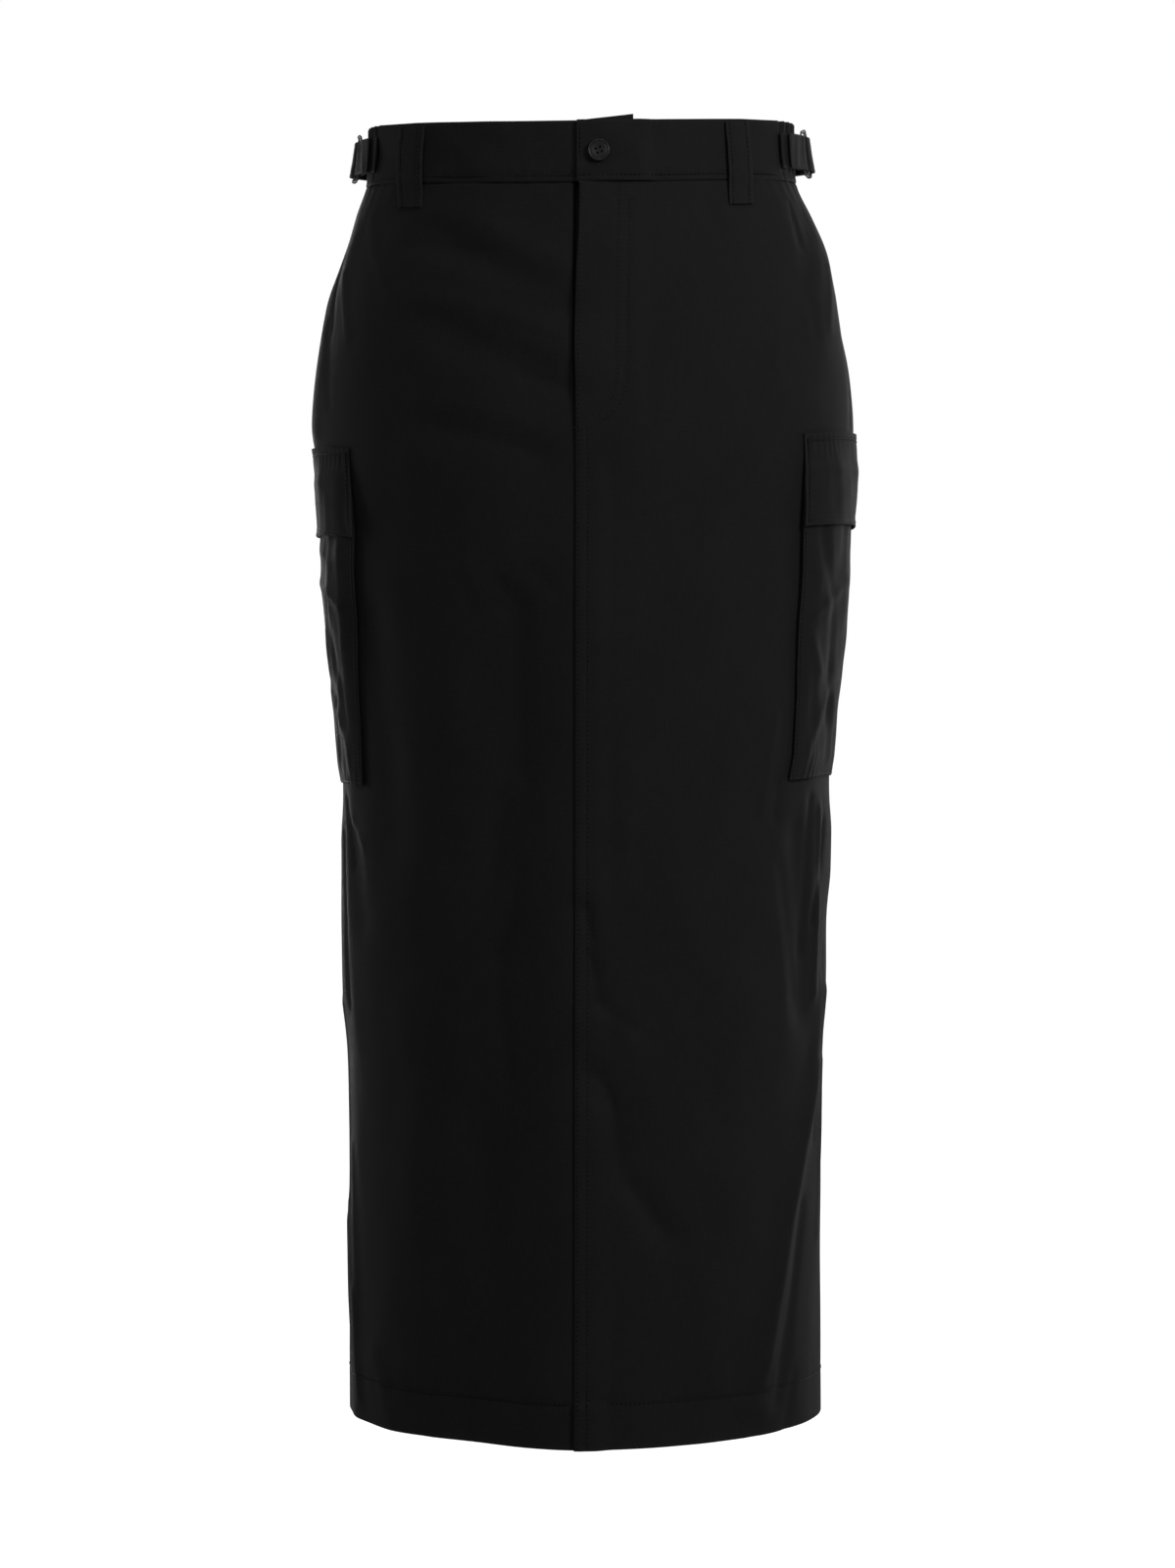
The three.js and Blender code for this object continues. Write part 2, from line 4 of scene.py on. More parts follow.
import bpy
import numpy as np
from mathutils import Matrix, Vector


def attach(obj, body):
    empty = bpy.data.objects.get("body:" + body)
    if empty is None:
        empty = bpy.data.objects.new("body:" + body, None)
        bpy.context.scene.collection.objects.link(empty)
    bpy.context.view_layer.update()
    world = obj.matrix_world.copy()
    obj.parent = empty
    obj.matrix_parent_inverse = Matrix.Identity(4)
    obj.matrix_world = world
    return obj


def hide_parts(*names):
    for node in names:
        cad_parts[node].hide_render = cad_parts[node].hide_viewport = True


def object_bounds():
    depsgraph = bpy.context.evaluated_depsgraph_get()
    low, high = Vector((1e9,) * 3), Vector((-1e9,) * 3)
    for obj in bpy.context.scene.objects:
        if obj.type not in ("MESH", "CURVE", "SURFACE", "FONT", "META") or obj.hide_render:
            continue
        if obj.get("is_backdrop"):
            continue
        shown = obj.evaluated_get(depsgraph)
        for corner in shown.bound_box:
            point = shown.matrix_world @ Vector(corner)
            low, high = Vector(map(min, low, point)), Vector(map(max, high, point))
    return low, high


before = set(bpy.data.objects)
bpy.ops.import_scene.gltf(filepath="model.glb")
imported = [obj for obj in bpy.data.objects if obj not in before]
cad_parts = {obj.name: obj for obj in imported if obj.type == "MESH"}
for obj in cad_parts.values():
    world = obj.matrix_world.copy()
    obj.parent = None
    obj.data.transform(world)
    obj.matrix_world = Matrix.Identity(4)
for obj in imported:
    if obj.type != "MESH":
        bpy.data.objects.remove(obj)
cad_low, cad_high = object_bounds()
bpy.ops.object.select_all(action="DESELECT")

# The studio.
# The skirt hangs by its waist over a pale floor, on white, as a cut-out for a shop page does.
# The camera stands level with its middle, 3 degrees to the wearer's left.
EYE_HEIGHT = -0.444
EYE_DISTANCE = 2.0
EYE_TURN = math.radians(3)
EYE_SLIDE = 0.0018
PICTURE_HEIGHT_AT_SKIRT = 1.12
SENSOR = 36
FLOOR_DROP = 0.06
FLOOR_LIGHT = 0.1

eye_back = (math.sin(EYE_TURN), -math.cos(EYE_TURN))
eye_right = (math.cos(EYE_TURN), math.sin(EYE_TURN))
bpy.ops.object.camera_add(
    location=(
        eye_back[0] * EYE_DISTANCE + eye_right[0] * EYE_SLIDE,
        eye_back[1] * EYE_DISTANCE + eye_right[1] * EYE_SLIDE,
        EYE_HEIGHT,
    ),
    rotation=(math.pi / 2, 0, EYE_TURN),
)
camera = bpy.context.object
camera.data.sensor_width = SENSOR
camera.data.lens = SENSOR * EYE_DISTANCE / PICTURE_HEIGHT_AT_SKIRT
bpy.context.scene.camera = camera
bpy.context.scene.view_settings.view_transform = "Standard"

# Each light: name, place, size across and up, power, all turned to the skirt's middle
LIGHTS = [
    {"name": "key_right", "place": (1.9, -1.7, 0.9), "size": (0.6, 0.7), "power": 35},
    {"name": "fill_left", "place": (-1.3, -2.2, 0.5), "size": (0.8, 0.8), "power": 5},
    {"name": "side_right", "place": (1.5, 1.75, -0.1), "size": (0.4, 1.8), "power": 12},
    {"name": "low_right", "place": (2.05, 0.85, -0.1), "size": (0.8, 1.4), "power": 6.5},
    {"name": "low_left", "place": (-2.05, 0.85, -0.1), "size": (0.8, 1.4), "power": 8},
    {"name": "side_left", "place": (-1.2, 2.05, -0.1), "size": (0.4, 1.8), "power": 24},
    {"name": "behind", "place": (0.3, 2.4, 0.6), "size": (2.4, 1.6), "power": 24},
    {"name": "above", "place": (0.2, -0.9, 1.7), "size": (1.2, 0.8), "power": 6},
]
for light in LIGHTS:
    bpy.ops.object.light_add(type="AREA", location=light["place"])
    lamp = bpy.context.object
    lamp.name = light["name"]
    lamp.data.shape = "RECTANGLE"
    lamp.data.size, lamp.data.size_y = light["size"]
    lamp.data.energy = light["power"]
    aim = lamp.location.copy()
    aim.z -= EYE_HEIGHT
    lamp.rotation_euler = aim.to_track_quat("Z", "Y").to_euler()

WORLD_SEEN = 1.0
WORLD_LIGHT = 0.14
WHITE = (1, 1, 1, 1)
PAPER = (0.25, 0.25, 0.25, 1)


class Number:
    """A shader value that can be added, multiplied and so on as plain numbers are."""

    def __init__(self, finish, socket):
        self.finish = finish
        self.socket = socket

    def math(self, operation, *values):
        return self.finish.add("ShaderNodeMath", {"operation": operation}, dict(enumerate(values)))

    def __add__(self, other):
        return self.math("ADD", self, other)

    def __sub__(self, other):
        return self.math("SUBTRACT", self, other)

    def __rsub__(self, other):
        return self.math("SUBTRACT", other, self)

    def __mul__(self, other):
        return self.math("MULTIPLY", self, other)

    def sine(self):
        return self.math("SINE", self)

    __radd__ = __add__
    __rmul__ = __mul__


class Finish:
    """The nodes of a material, or of the world, with one way to add each of them."""

    def __init__(self, owner, shader="Principled BSDF"):
        owner.use_nodes = True
        self.owner = owner
        self.tree = owner.node_tree
        self.shader = self.tree.nodes[shader]

    def add(self, kind, settings, values, output=0):
        node = self.tree.nodes.new(kind)
        for key, value in settings.items():
            if key == "stops":
                node.color_ramp.elements[0].position = value[0]
                node.color_ramp.elements[1].position = value[1]
            else:
                setattr(node, key, value)
        for key, value in values.items():
            self.feed(node, key, value)
        return Number(self, node.outputs[output])

    def feed(self, node, key, value):
        if isinstance(value, Number):
            self.tree.links.new(value.socket, node.inputs[key])
        else:
            node.inputs[key].default_value = value

    def surface(self, **values):
        for key, value in values.items():
            self.feed(self.shader, key.replace("_", " "), value)

    def between(self, share, first, second):
        """A colour that goes from the first to the second as the share goes from 0 to 1."""
        return self.add("ShaderNodeMix", {"data_type": "RGBA"}, {0: share, 6: first, 7: second}, 2)

    def noise(self, place, scale, detail):
        return self.add("ShaderNodeTexNoise", {}, {"Vector": place, "Scale": scale, "Detail": detail})

    def bump(self, strength, distance, height):
        return self.add("ShaderNodeBump", {}, {"Strength": strength, "Distance": distance, "Height": height})


def burn_out(finish, socket, light):
    """White as far as the camera sees it, and much dimmer where it lights the skirt."""
    seen = finish.add("ShaderNodeLightPath", {}, {}, "Is Camera Ray")
    strength = finish.add("ShaderNodeMapRange", {}, {"Value": seen, "To Min": light, "To Max": WORLD_SEEN})
    finish.feed(finish.shader, socket, strength)


sky = Finish(bpy.data.worlds.new("white_studio"), "Background")
sky.surface(Color=WHITE)
burn_out(sky, "Strength", WORLD_LIGHT)
bpy.context.scene.world = sky.owner

bpy.ops.mesh.primitive_plane_add(size=60, location=(0, 0, cad_low.z - FLOOR_DROP))
floor = bpy.context.object
floor.name = "floor"
paper = Finish(bpy.data.materials.new("white_paper"))
paper.surface(Base_Color=PAPER, Roughness=1, Specular_IOR_Level=0, Emission_Color=WHITE)
burn_out(paper, "Emission Strength", FLOOR_LIGHT)
floor.data.materials.append(paper.owner)
floor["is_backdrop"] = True

# The front panels.
# Two panels of cotton that meet in the middle: the wearer's left one is folded under at its edge and
# laps over the right one, 38 mm wide along the fly, then felled with two rows of stitching.

# The form of the worn skirt: the cloth hangs from the waist over the hips and falls straight to the hem,
# so one set of plan sections gives every place on it. Sizes are in millimetres, heights as drops from
# the waist
ROUNDNESS = 1.92
SECTIONS = [
    {"drop": -40, "width": 152, "front": 100, "back": 98},
    {"drop": 15, "width": 153, "front": 100.5, "back": 99},
    {"drop": 42, "width": 163.5, "front": 101.5, "back": 106},
    {"drop": 76, "width": 175.5, "front": 106.5, "back": 117},
    {"drop": 129, "width": 185.5, "front": 113.5, "back": 129},
    {"drop": 180, "width": 191, "front": 118, "back": 135},
    {"drop": 215, "width": 190, "front": 120, "back": 135},
    {"drop": 240, "width": 186.5, "front": 120.5, "back": 134},
    {"drop": 269, "width": 182.5, "front": 121, "back": 132},
    {"drop": 304, "width": 181.5, "front": 121.5, "back": 131},
    {"drop": 374, "width": 177, "front": 122.5, "back": 130},
    {"drop": 444, "width": 173.2, "front": 124, "back": 129},
    {"drop": 584, "width": 171.5, "front": 128, "back": 131},
    {"drop": 654, "width": 168.4, "front": 130, "back": 132},
    {"drop": 900, "width": 168, "front": 137, "back": 137},
]
WAIST_LINE = {"rest": 0.375, "dip": -11.25, "tilt": -3.625}
WAIST_SHIFT = -3
SEAM_DROP = 21
LEVEL_DROP = 165
HEM_DROP = 887
HEM_TURNUP = 31
BAND_HEIGHT = 42
SEAM_GAP = 0.3
SIDE_RADIUS = 125
MM = 0.001

# The large folds, and the small creases that pull between seams, as lines over the cloth:
# places at an angle in degrees (0 in front, + to the wearer's left) and a drop, then the half
# width and the rise (below 0 sinks)
DEGREE_LENGTH = 2.6
FOLDS = [
    ([(-90, 104), (-90, 186)], 27, 4.6),
    ([(90, 92), (90, 122)], 20, -3),
    ([(-42, 46), (-27, 58), (-4, 92)], 9, 1.2),
    ([(-38, 64), (-27, 80), (-17, 98), (-4, 122)], 13, -2.6),
    ([(-34, 108), (-18, 128), (-4, 148)], 9, 1.0),
    ([(-36, 128), (-22, 146), (-12, 162), (-3, 178)], 14, -2.6),
    ([(-34, 184), (-20, 192), (-6, 208)], 9, 0.9),
    ([(-32, 202), (-18, 210), (-6, 228)], 16, -1.4),
    ([(-15, 330), (-16, 460), (-21, 620), (-27, 880)], 30, -5.5),
    ([(-1, 330), (-1, 880)], 34, 3),
    ([(5, 640), (10, 665), (12, 706), (23, 748)], 10, -2.5),
    ([(80, 590), (73, 656), (60.5, 732), (53, 806), (47.5, 866)], 11, 3.4),
    ([(66, 735), (60, 806), (55, 866)], 6, -1.5),
    ([(88, 480), (86, 502)], 24, 3),
    ([(-88, 486), (-88, 590)], 24, 2.4),
    ([(-46, 172), (-38, 190)], 22, -1.4),
    ([(-54, 330), (-48, 480)], 17, -2.4),
    ([(10, 350), (12, 470)], 13, 1.7),
    ([(2, 530), (5, 590)], 10, -2.4),
    ([(61, 480), (65, 600)], 14, -3),
    ([(-80, 755), (-68, 880)], 14, 3),
    ([(-60, 846), (-50, 887)], 18, 2.4),
    ([(-70, 480), (-64, 540)], 13, -2.5),
    ([(-85, 40), (-74, 150)], 18, -1.2),
    ([(72, 45), (60, 100)], 13, -2),
    ([(148, 225), (170, 262)], 17, -2.5),
    ([(-150, 238), (-172, 280)], 17, -2.5),
    ([(177, 400), (172, 880)], 28, -5),
    ([(132, 560), (146, 780)], 18, -3),
    ([(-138, 590), (-124, 830)], 17, 3.5),
]
CREASES = [
    ([(76, 640), (66, 695), (60.5, 735), (53.6, 800), (49, 850)], 4, 1.2),
    ([(-44, 72), (-22, 84)], 6, -1.0),
    ([(-33, 92), (-6, 116)], 6, 0.7),
    ([(-47, 104), (-30, 118)], 5, 0.7),
    ([(-20, 128), (-5, 146)], 5, -0.9),
    ([(-12, 168), (-2, 178)], 4, -0.7),
    ([(-30, 202), (-8, 222)], 5, -0.7),
    ([(-62, 48), (-50, 92)], 6, 0.8),
    ([(-84, 60), (-76, 122)], 5, -1.2),
    ([(-80, 120), (-70, 176)], 6, -1.0),
    ([(-72, 84), (-62, 132)], 5, 0.8),
    ([(-18, 309), (-13, 322)], 5, -0.7),
    ([(-10, 300), (-4, 316)], 5, -0.6),
    ([(-25, 296), (-20, 330)], 7, 0.6),
    ([(-14, 330), (-13, 440)], 8, -1.0),
    ([(-17, 430), (-21, 506)], 7, -0.9),
    ([(-14, 505), (-19, 560)], 6, -0.8),
    ([(-20, 560), (-17, 640)], 7, -0.8),
    ([(-24, 690), (-16, 850)], 10, -0.9),
    ([(-34, 520), (-28, 640)], 11, 0.6),
    ([(-46, 600), (-40, 800)], 12, 0.7),
    ([(3, 528), (4, 548)], 3.5, -1.0),
    ([(4, 560), (6, 590)], 3.5, -1.0),
    ([(6, 592), (16, 612)], 4, -0.8),
    ([(12, 470), (14, 520)], 7, 0.8),
    ([(6, 640), (9, 656)], 3.5, -1.1),
    ([(9, 660), (11, 700)], 4, -1.0),
    ([(13, 712), (20, 740)], 4, -1.0),
    ([(12, 600), (18, 650)], 9, 0.7),
    ([(30, 770), (36, 850)], 9, 0.6),
    ([(68, 455), (64, 560)], 5, -1.5),
    ([(74, 460), (72, 590)], 4, 1.5),
    ([(78, 470), (70, 540)], 4, -1.6),
    ([(53, 446), (52, 468)], 4, -1.3),
    ([(51.5, 398), (49, 440), (47.5, 462)], 3, 0.9),
    ([(54, 500), (60, 590)], 6, -0.9),
    ([(80, 560), (74, 690)], 5, -1.0),
    ([(84, 640), (78, 760)], 5, 1.0),
    ([(66, 40), (63, 68)], 4, -1.2),
    ([(62, 112), (62, 132)], 6, -0.9),
    ([(78, 80), (70, 124)], 5, 0.9),
    ([(84, 110), (80, 190)], 5, -1.0),
    ([(50, 90), (46, 170)], 7, 0.5),
    ([(34, 60), (40, 130)], 7, -0.4),
    ([(-76, 456), (-70, 500)], 5, -1.5),
    ([(-70, 470), (-62, 486)], 4, 1.2),
    ([(-80, 480), (-74, 600)], 5, -1.2),
    ([(-84, 600), (-80, 740)], 5, 1.1),
    ([(-76, 700), (-70, 800)], 5, 1.0),
    ([(-72, 800), (-66, 872)], 4, 1.2),
    ([(-58, 836), (-50, 880)], 6, 0.8),
    ([(-44, 850), (-40, 886)], 6, -0.6),
    ([(50, 846), (46, 884)], 6, -0.8),
    ([(62, 850), (58, 886)], 5, -0.9),
    ([(112, 470), (108, 600)], 6, -1.5),
    ([(104, 480), (100, 640)], 5, 1.3),
    ([(118, 640), (124, 760)], 7, 1.1),
    ([(-104, 470), (-110, 590)], 6, -1.5),
    ([(-98, 520), (-102, 660)], 5, 1.2),
    ([(-116, 700), (-120, 820)], 7, -1.1),
    ([(140, 210), (158, 236)], 8, -1.2),
    ([(-142, 222), (-164, 252)], 8, -1.3),
    ([(160, 280), (176, 300)], 8, 0.9),
    ([(120, 60), (128, 150)], 8, -1.0),
    ([(-122, 56), (-130, 150)], 8, -1.1),
    ([(150, 40), (152, 120)], 7, -0.8),
    ([(-150, 40), (-152, 118)], 7, -0.8),
    ([(168, 420), (176, 560)], 10, 1.0),
    ([(-170, 460), (-176, 640)], 10, -1.2),
]

# Slow waves of the cloth between the creases: turns round the skirt, waves down it, height
WAVES = [(5, 7, 0.35), (9, 4, 0.28), (13, 11, 0.22), (21, 6, 0.16), (17, 23, 0.12), (31, 15, 0.08)]


def signed_power(value, power):
    return np.sign(value) * np.abs(value) ** power


def smooth(value):
    t = np.clip(value, 0, 1)
    return t * t * (3 - 2 * t)


def section_reader(name):
    places = np.array([row["drop"] for row in SECTIONS], float)
    values = np.array([row[name] for row in SECTIONS], float)
    slopes = np.empty_like(values)
    slopes[1:-1] = (values[2:] - values[:-2]) / (places[2:] - places[:-2])
    slopes[0] = (values[1] - values[0]) / (places[1] - places[0])
    slopes[-1] = (values[-1] - values[-2]) / (places[-1] - places[-2])

    def read(drop):
        i = np.clip(np.searchsorted(places, drop) - 1, 0, len(places) - 2)
        span = places[i + 1] - places[i]
        t = (drop - places[i]) / span
        u = 1 - t
        ends = values[i] * (1 + 2 * t) * u * u + values[i + 1] * t * t * (3 - 2 * t)
        return ends + span * t * u * (u * slopes[i] - t * slopes[i + 1])

    return read


width_at, front_at, back_at = (section_reader(name) for name in ("width", "front", "back"))


def lines_relief(lines, across, drop, unit=1, round_trip=np.inf):
    """The rise that lines give the cloth; a unit across is this long, and comes back after a round trip."""
    rise = np.zeros(np.broadcast(across, drop).shape)
    for places, reach, height in lines:
        nearest = np.full(rise.shape, np.inf)
        for (across_a, drop_a), (across_b, drop_b) in zip(places, places[1:]):
            dx, dz = (across_b - across_a) * unit, drop_b - drop_a
            away = across - across_a
            if np.isfinite(round_trip):
                away = away - round_trip * np.round(away / round_trip)
            x, z = away * unit, drop - drop_a
            along = np.clip((x * dx + z * dz) / (dx * dx + dz * dz), 0, 1)
            nearest = np.minimum(nearest, np.hypot(x - along * dx, z - along * dz))
        rise += height * np.exp(-((nearest / reach) ** 2))
    return rise


def relief(angle, drop):
    waves = np.zeros(np.broadcast(angle, drop).shape)
    for k, (turns, falls, height) in enumerate(WAVES):
        lean = 1.7 * math.sin(2.3 * k + 0.4)
        waves += height * np.sin(turns * angle + lean * drop / 140 + 1.9 * k) * np.sin(
            falls * drop / 280 + 0.8 * k + np.sin(2 * angle + k)
        )
    fades = np.clip((drop - 22) / 30, 0, 1)
    lines = lines_relief(FOLDS + CREASES, np.degrees(angle), drop, DEGREE_LENGTH, 360)
    return (lines + waves) * fades


def on_body(angle, z, out, plain=False):
    """Places on the cloth, moved outwards, with the folds unless it is plain."""
    width = width_at(-z)
    depth = np.where(np.cos(angle) > 0, front_at(-z), back_at(-z))
    sine = signed_power(np.sin(angle), 2 / ROUNDNESS)
    cosine = signed_power(np.cos(angle), 2 / ROUNDNESS)
    nx = signed_power(sine, ROUNDNESS - 1) / width
    ny = -signed_power(cosine, ROUNDNESS - 1) / depth
    lift = (out if plain else out + relief(angle, -z)) / np.hypot(nx, ny)
    shift = WAIST_SHIFT * smooth((np.abs(np.sin(angle)) - 0.6) / 0.3) * (1 - smooth((-z - 20) / 60))
    x, y = width * sine + nx * lift + shift, -depth * cosine + ny * lift
    return np.stack(np.broadcast_arrays(x, y, z), -1)


def angle_across(x, z):
    return np.arcsin(signed_power(x / width_at(-z), ROUNDNESS / 2))


def waist_line(angle):
    return WAIST_LINE["rest"] + WAIST_LINE["dip"] * np.cos(angle) + WAIST_LINE["tilt"] * np.cos(2 * angle)


def seam_height(angle):
    return waist_line(angle) - BAND_HEIGHT / 2


def row_height(drop, angle):
    level = np.clip((LEVEL_DROP - drop) / (LEVEL_DROP - SEAM_DROP), 0, 1)
    return -drop + (seam_height(angle) - SEAM_GAP / 2 + SEAM_DROP) * level


# The black cotton: a fine plain weave with slightly uneven yarns, dyed black, matt, with a faint nap that
# catches side light. Its edges and seams are painted a little paler, partly as wear where they were pressed
# and rubbed and partly as a painted highlight where their folds catch the light. The yarns follow the
# piece's own map, which is in metres along the cut's grain
THREAD_PITCH = 0.00055
COTTON_DARK = (0.0062, 0.0062, 0.0063, 1)
COTTON_PALE = (0.0112, 0.0112, 0.0114, 1)
# The paler tone of edges and seams: partly wear, partly a painted highlight
COTTON_WORN_AND_HIGHLIT = (0.018, 0.018, 0.0182, 1)

cotton = Finish(bpy.data.materials.new("black_cotton"))
grain = cotton.add("ShaderNodeUVMap", {"uv_map": "grain"}, {})
weft_way = cotton.add("ShaderNodeSeparateXYZ", {}, {0: grain}, 0)
warp_way = cotton.add("ShaderNodeSeparateXYZ", {}, {0: grain}, 1)


def yarn_noise(across_scale, along_scale, detail):
    """Unevenness of the yarns, with its own scale across the grain and along it."""
    scaled = {0: weft_way * across_scale, 1: warp_way * along_scale}
    return cotton.noise(cotton.add("ShaderNodeCombineXYZ", {}, scaled), 1.0, detail)


weft_slubs = yarn_noise(130, 1500, 2)
warp_slubs = yarn_noise(1500, 90, 2)
cloud = yarn_noise(22, 14, 4)
turns = 2 * math.pi / THREAD_PITCH
weave = (weft_way * turns).sine() * (warp_way * turns).sine()
yarns = weft_slubs * 0.5 + warp_slubs * 0.5
uneven = cotton.add("ShaderNodeValToRGB", {"stops": (0.34, 0.66)}, {0: yarns * 0.75 + cloud * 0.25})
# Where edges and seams are painted paler: partly wear, partly a painted highlight
wear_highlight_mask = cotton.add("ShaderNodeAttribute", {"attribute_name": "rubbed"}, {}, 2)
black = cotton.between(uneven, COTTON_DARK, COTTON_PALE)
cotton.surface(
    Base_Color=cotton.between(wear_highlight_mask * (yarns * 1.2), black, COTTON_WORN_AND_HIGHLIT),
    Roughness=yarns * 0.16 + 0.68,
    Normal=cotton.bump(0.55, 0.00014, weave * 0.35 + weft_slubs * 0.9 + warp_slubs * 0.9),
    Specular_IOR_Level=0.1,
    Sheen_Weight=0.012,
    Sheen_Roughness=0.5,
)


def shade(piece, degrees):
    """Smooth shading, but for edges where faces meet at more than so many degrees."""
    bpy.ops.object.select_all(action="DESELECT")
    piece.select_set(True)
    bpy.context.view_layer.objects.active = piece
    bpy.ops.object.shade_smooth_by_angle(angle=math.radians(degrees))
    piece.select_set(False)


def cloth_piece(name, outer, inner, rubbed):
    """A sheet of cloth from two grids of places, its outer and its inner face, joined round the rim."""
    rows, columns = outer.shape[:2]
    size = rows * columns
    ids = np.arange(size).reshape(rows, columns)

    def quads(a, b, c, d):
        return np.stack([a.ravel(), b.ravel(), c.ravel(), d.ravel()], 1)

    top = quads(ids[:-1, :-1], ids[:-1, 1:], ids[1:, 1:], ids[1:, :-1])
    faces = [top, top[:, ::-1] + size]
    for line in (ids[0, ::-1], ids[:, 0], ids[-1], ids[::-1, -1]):
        faces.append(quads(line[:-1], line[1:], line[1:] + size, line[:-1] + size)[:, ::-1])
    faces = np.concatenate(faces)
    points = np.concatenate([outer.reshape(-1, 3), inner.reshape(-1, 3)])
    a, b, c, d = (points[faces[:, k]] for k in range(4))
    volume = (a * np.cross(b, c)).sum() + (a * np.cross(c, d)).sum()
    if volume < 0:
        faces = faces[:, ::-1]
    mesh = bpy.data.meshes.new(name)
    mesh.from_pydata((points * MM).tolist(), [], faces.tolist())
    across = np.cumsum(np.linalg.norm(np.diff(outer, axis=1, prepend=outer[:, :1]), axis=2), axis=1)
    across -= across[:, -1:] / 2
    along = np.cumsum(np.linalg.norm(np.diff(outer, axis=0, prepend=outer[:1]), axis=2), axis=0)
    grain = np.tile(np.stack([across, along], -1).reshape(-1, 2) * MM, (2, 1))
    layer = mesh.uv_layers.new(name="grain")
    layer.data.foreach_set("uv", grain[faces.ravel()].ravel())
    # Each place's share of the paler edge tone: partly wear, partly a painted highlight
    wear_highlight_mask = np.broadcast_to(np.clip(rubbed, 0, 1), (rows, columns))
    mesh.attributes.new("rubbed", "FLOAT", "POINT").data.foreach_set("value", np.tile(wear_highlight_mask.ravel(), 2))
    mesh.polygons.foreach_set("use_smooth", np.ones(len(faces), bool))
    mesh.materials.append(cotton.owner)
    piece = bpy.data.objects.new(name, mesh)
    bpy.context.scene.collection.objects.link(piece)
    shade(piece, 50)
    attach(piece, "root")
    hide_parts(name.removesuffix("_cloth"))
    return piece


# How the two panels meet and are sewn
CLOTH = 0.8
FLY_END_DROP = 204
FLY_LAP = 38
SEAM_LAP = 12
LAP_TAPER = 22
LAP_RAMP = 14
LAP_STEP = 1.5
FLY_STANDING = 2.6
SEAM_STANDING = 0.4
TURNUP_DROP = HEM_DROP - HEM_TURNUP
TURNED_UP = 7
SEAM_ROWS = (1.9, 8.6)
EDGE_ROLL = 0.9

PANEL_DROPS = np.concatenate([
    np.linspace(SEAM_DROP - TURNED_UP, SEAM_DROP, 9)[:-1],
    np.linspace(SEAM_DROP, SEAM_DROP + 10, 8)[:-1],
    np.linspace(SEAM_DROP + 10, TURNUP_DROP - 4, 236)[:-1],
    np.linspace(TURNUP_DROP - 4, TURNUP_DROP + 4, 9)[:-1],
    np.linspace(TURNUP_DROP + 4, HEM_DROP - 2, 10)[:-1],
    np.linspace(HEM_DROP - 2, HEM_DROP, 4),
])
PANEL_THICKNESS = CLOTH + 0.8 * smooth((PANEL_DROPS[:, None] - TURNUP_DROP) / 1.5)
# The hem's folded edge is painted paler: partly wear, partly a painted highlight
HEM_WEAR_AND_HIGHLIGHT = 0.55 * np.exp(-((HEM_DROP - PANEL_DROPS[:, None]) / 2.5))


def lap_width(drop):
    return FLY_LAP + (SEAM_LAP - FLY_LAP) * np.clip((drop - FLY_END_DROP) / LAP_TAPER, 0, 1)


def lap_rise(x, drop):
    lap = lap_width(drop)
    fly = smooth((FLY_END_DROP + LAP_TAPER - drop) / 60)
    edge = (SEAM_STANDING + (FLY_STANDING - SEAM_STANDING) * fly) * (1 - np.clip(x / lap, 0, 1))
    step = LAP_STEP + 1.2 * smooth((drop - TURNUP_DROP + 2) / 4)
    return step * (1 - smooth((x - lap - 2) / LAP_RAMP)) + edge


def lap_edge(drop):
    """How far the free edge of the fly bows to the wearer's left, just below the waistband."""
    bow = 2.6 * np.exp(-(((drop - 32) / 36) ** 2)) * smooth((drop - SEAM_DROP + 3) / 8)
    return bow - 1.1 * np.exp(-(((drop - 140) / 45) ** 2))


def fly_hollow(x, drop):
    """The right panel dips beside the fly's free edge and runs on beneath it."""
    width = 1.2 * smooth((FLY_END_DROP + 8 - drop) / 90) + 0.2
    depth = 4.2 * smooth((FLY_END_DROP + 6 - drop) / 70)
    return -depth * smooth((x + width + 1.6) / 1.6)


def puckers(travel, pitch, seed):
    """Small uneven gathers that a row of stitches makes along a seam, from 0 to 1."""
    slow = np.sin(travel / pitch * 0.73 + seed) + np.sin(travel / pitch * 0.41 + 2.1 * seed)
    return (np.sin(2 * np.pi * travel / pitch + 1.6 * slow) + 1) / 2 * (0.6 + 0.2 * slow)


# The curve of the fly's two rows of topstitching: straight down, then round to the centre seam
FLY_ROWS = [
    {"across": 28.5, "turn": 165, "end": 198},
    {"across": 35.5, "turn": 163, "end": 205},
]


def fly_curve(row, count):
    """Places across and down one row of the fly's stitching."""
    straight = np.linspace(SEAM_DROP + 15, row["turn"], count)
    t = np.linspace(0, np.pi / 2, count // 2)[1:]
    x = np.concatenate([np.full(count, row["across"]), row["across"] * np.cos(t) ** 0.9])
    drop = np.concatenate([straight, row["turn"] + (row["end"] - row["turn"]) * np.sin(t) ** 0.9])
    return x, drop


def distance_to_curve(x, drop, curve):
    cx, cd = curve
    best = np.full(np.broadcast(x, drop).shape, 1e3)
    for k in range(len(cx) - 1):
        dx, dd = cx[k + 1] - cx[k], cd[k + 1] - cd[k]
        t = np.clip(((x - cx[k]) * dx + (drop - cd[k]) * dd) / (dx * dx + dd * dd + 1e-9), 0, 1)
        best = np.minimum(best, np.hypot(x - cx[k] - t * dx, drop - cd[k] - t * dd))
    return best


def round_either_way(angle):
    """An angle from the front that is the same on both sides of a side seam."""
    return np.abs(np.arctan2(np.sin(angle), np.cos(angle))) + 0.13 * np.sin(angle)


def side_seam(angle):
    """The panels turn in where they are sewn together at the sides."""
    return -0.6 * np.exp(-np.abs(np.cos(angle)) * SIDE_RADIUS / 0.8)


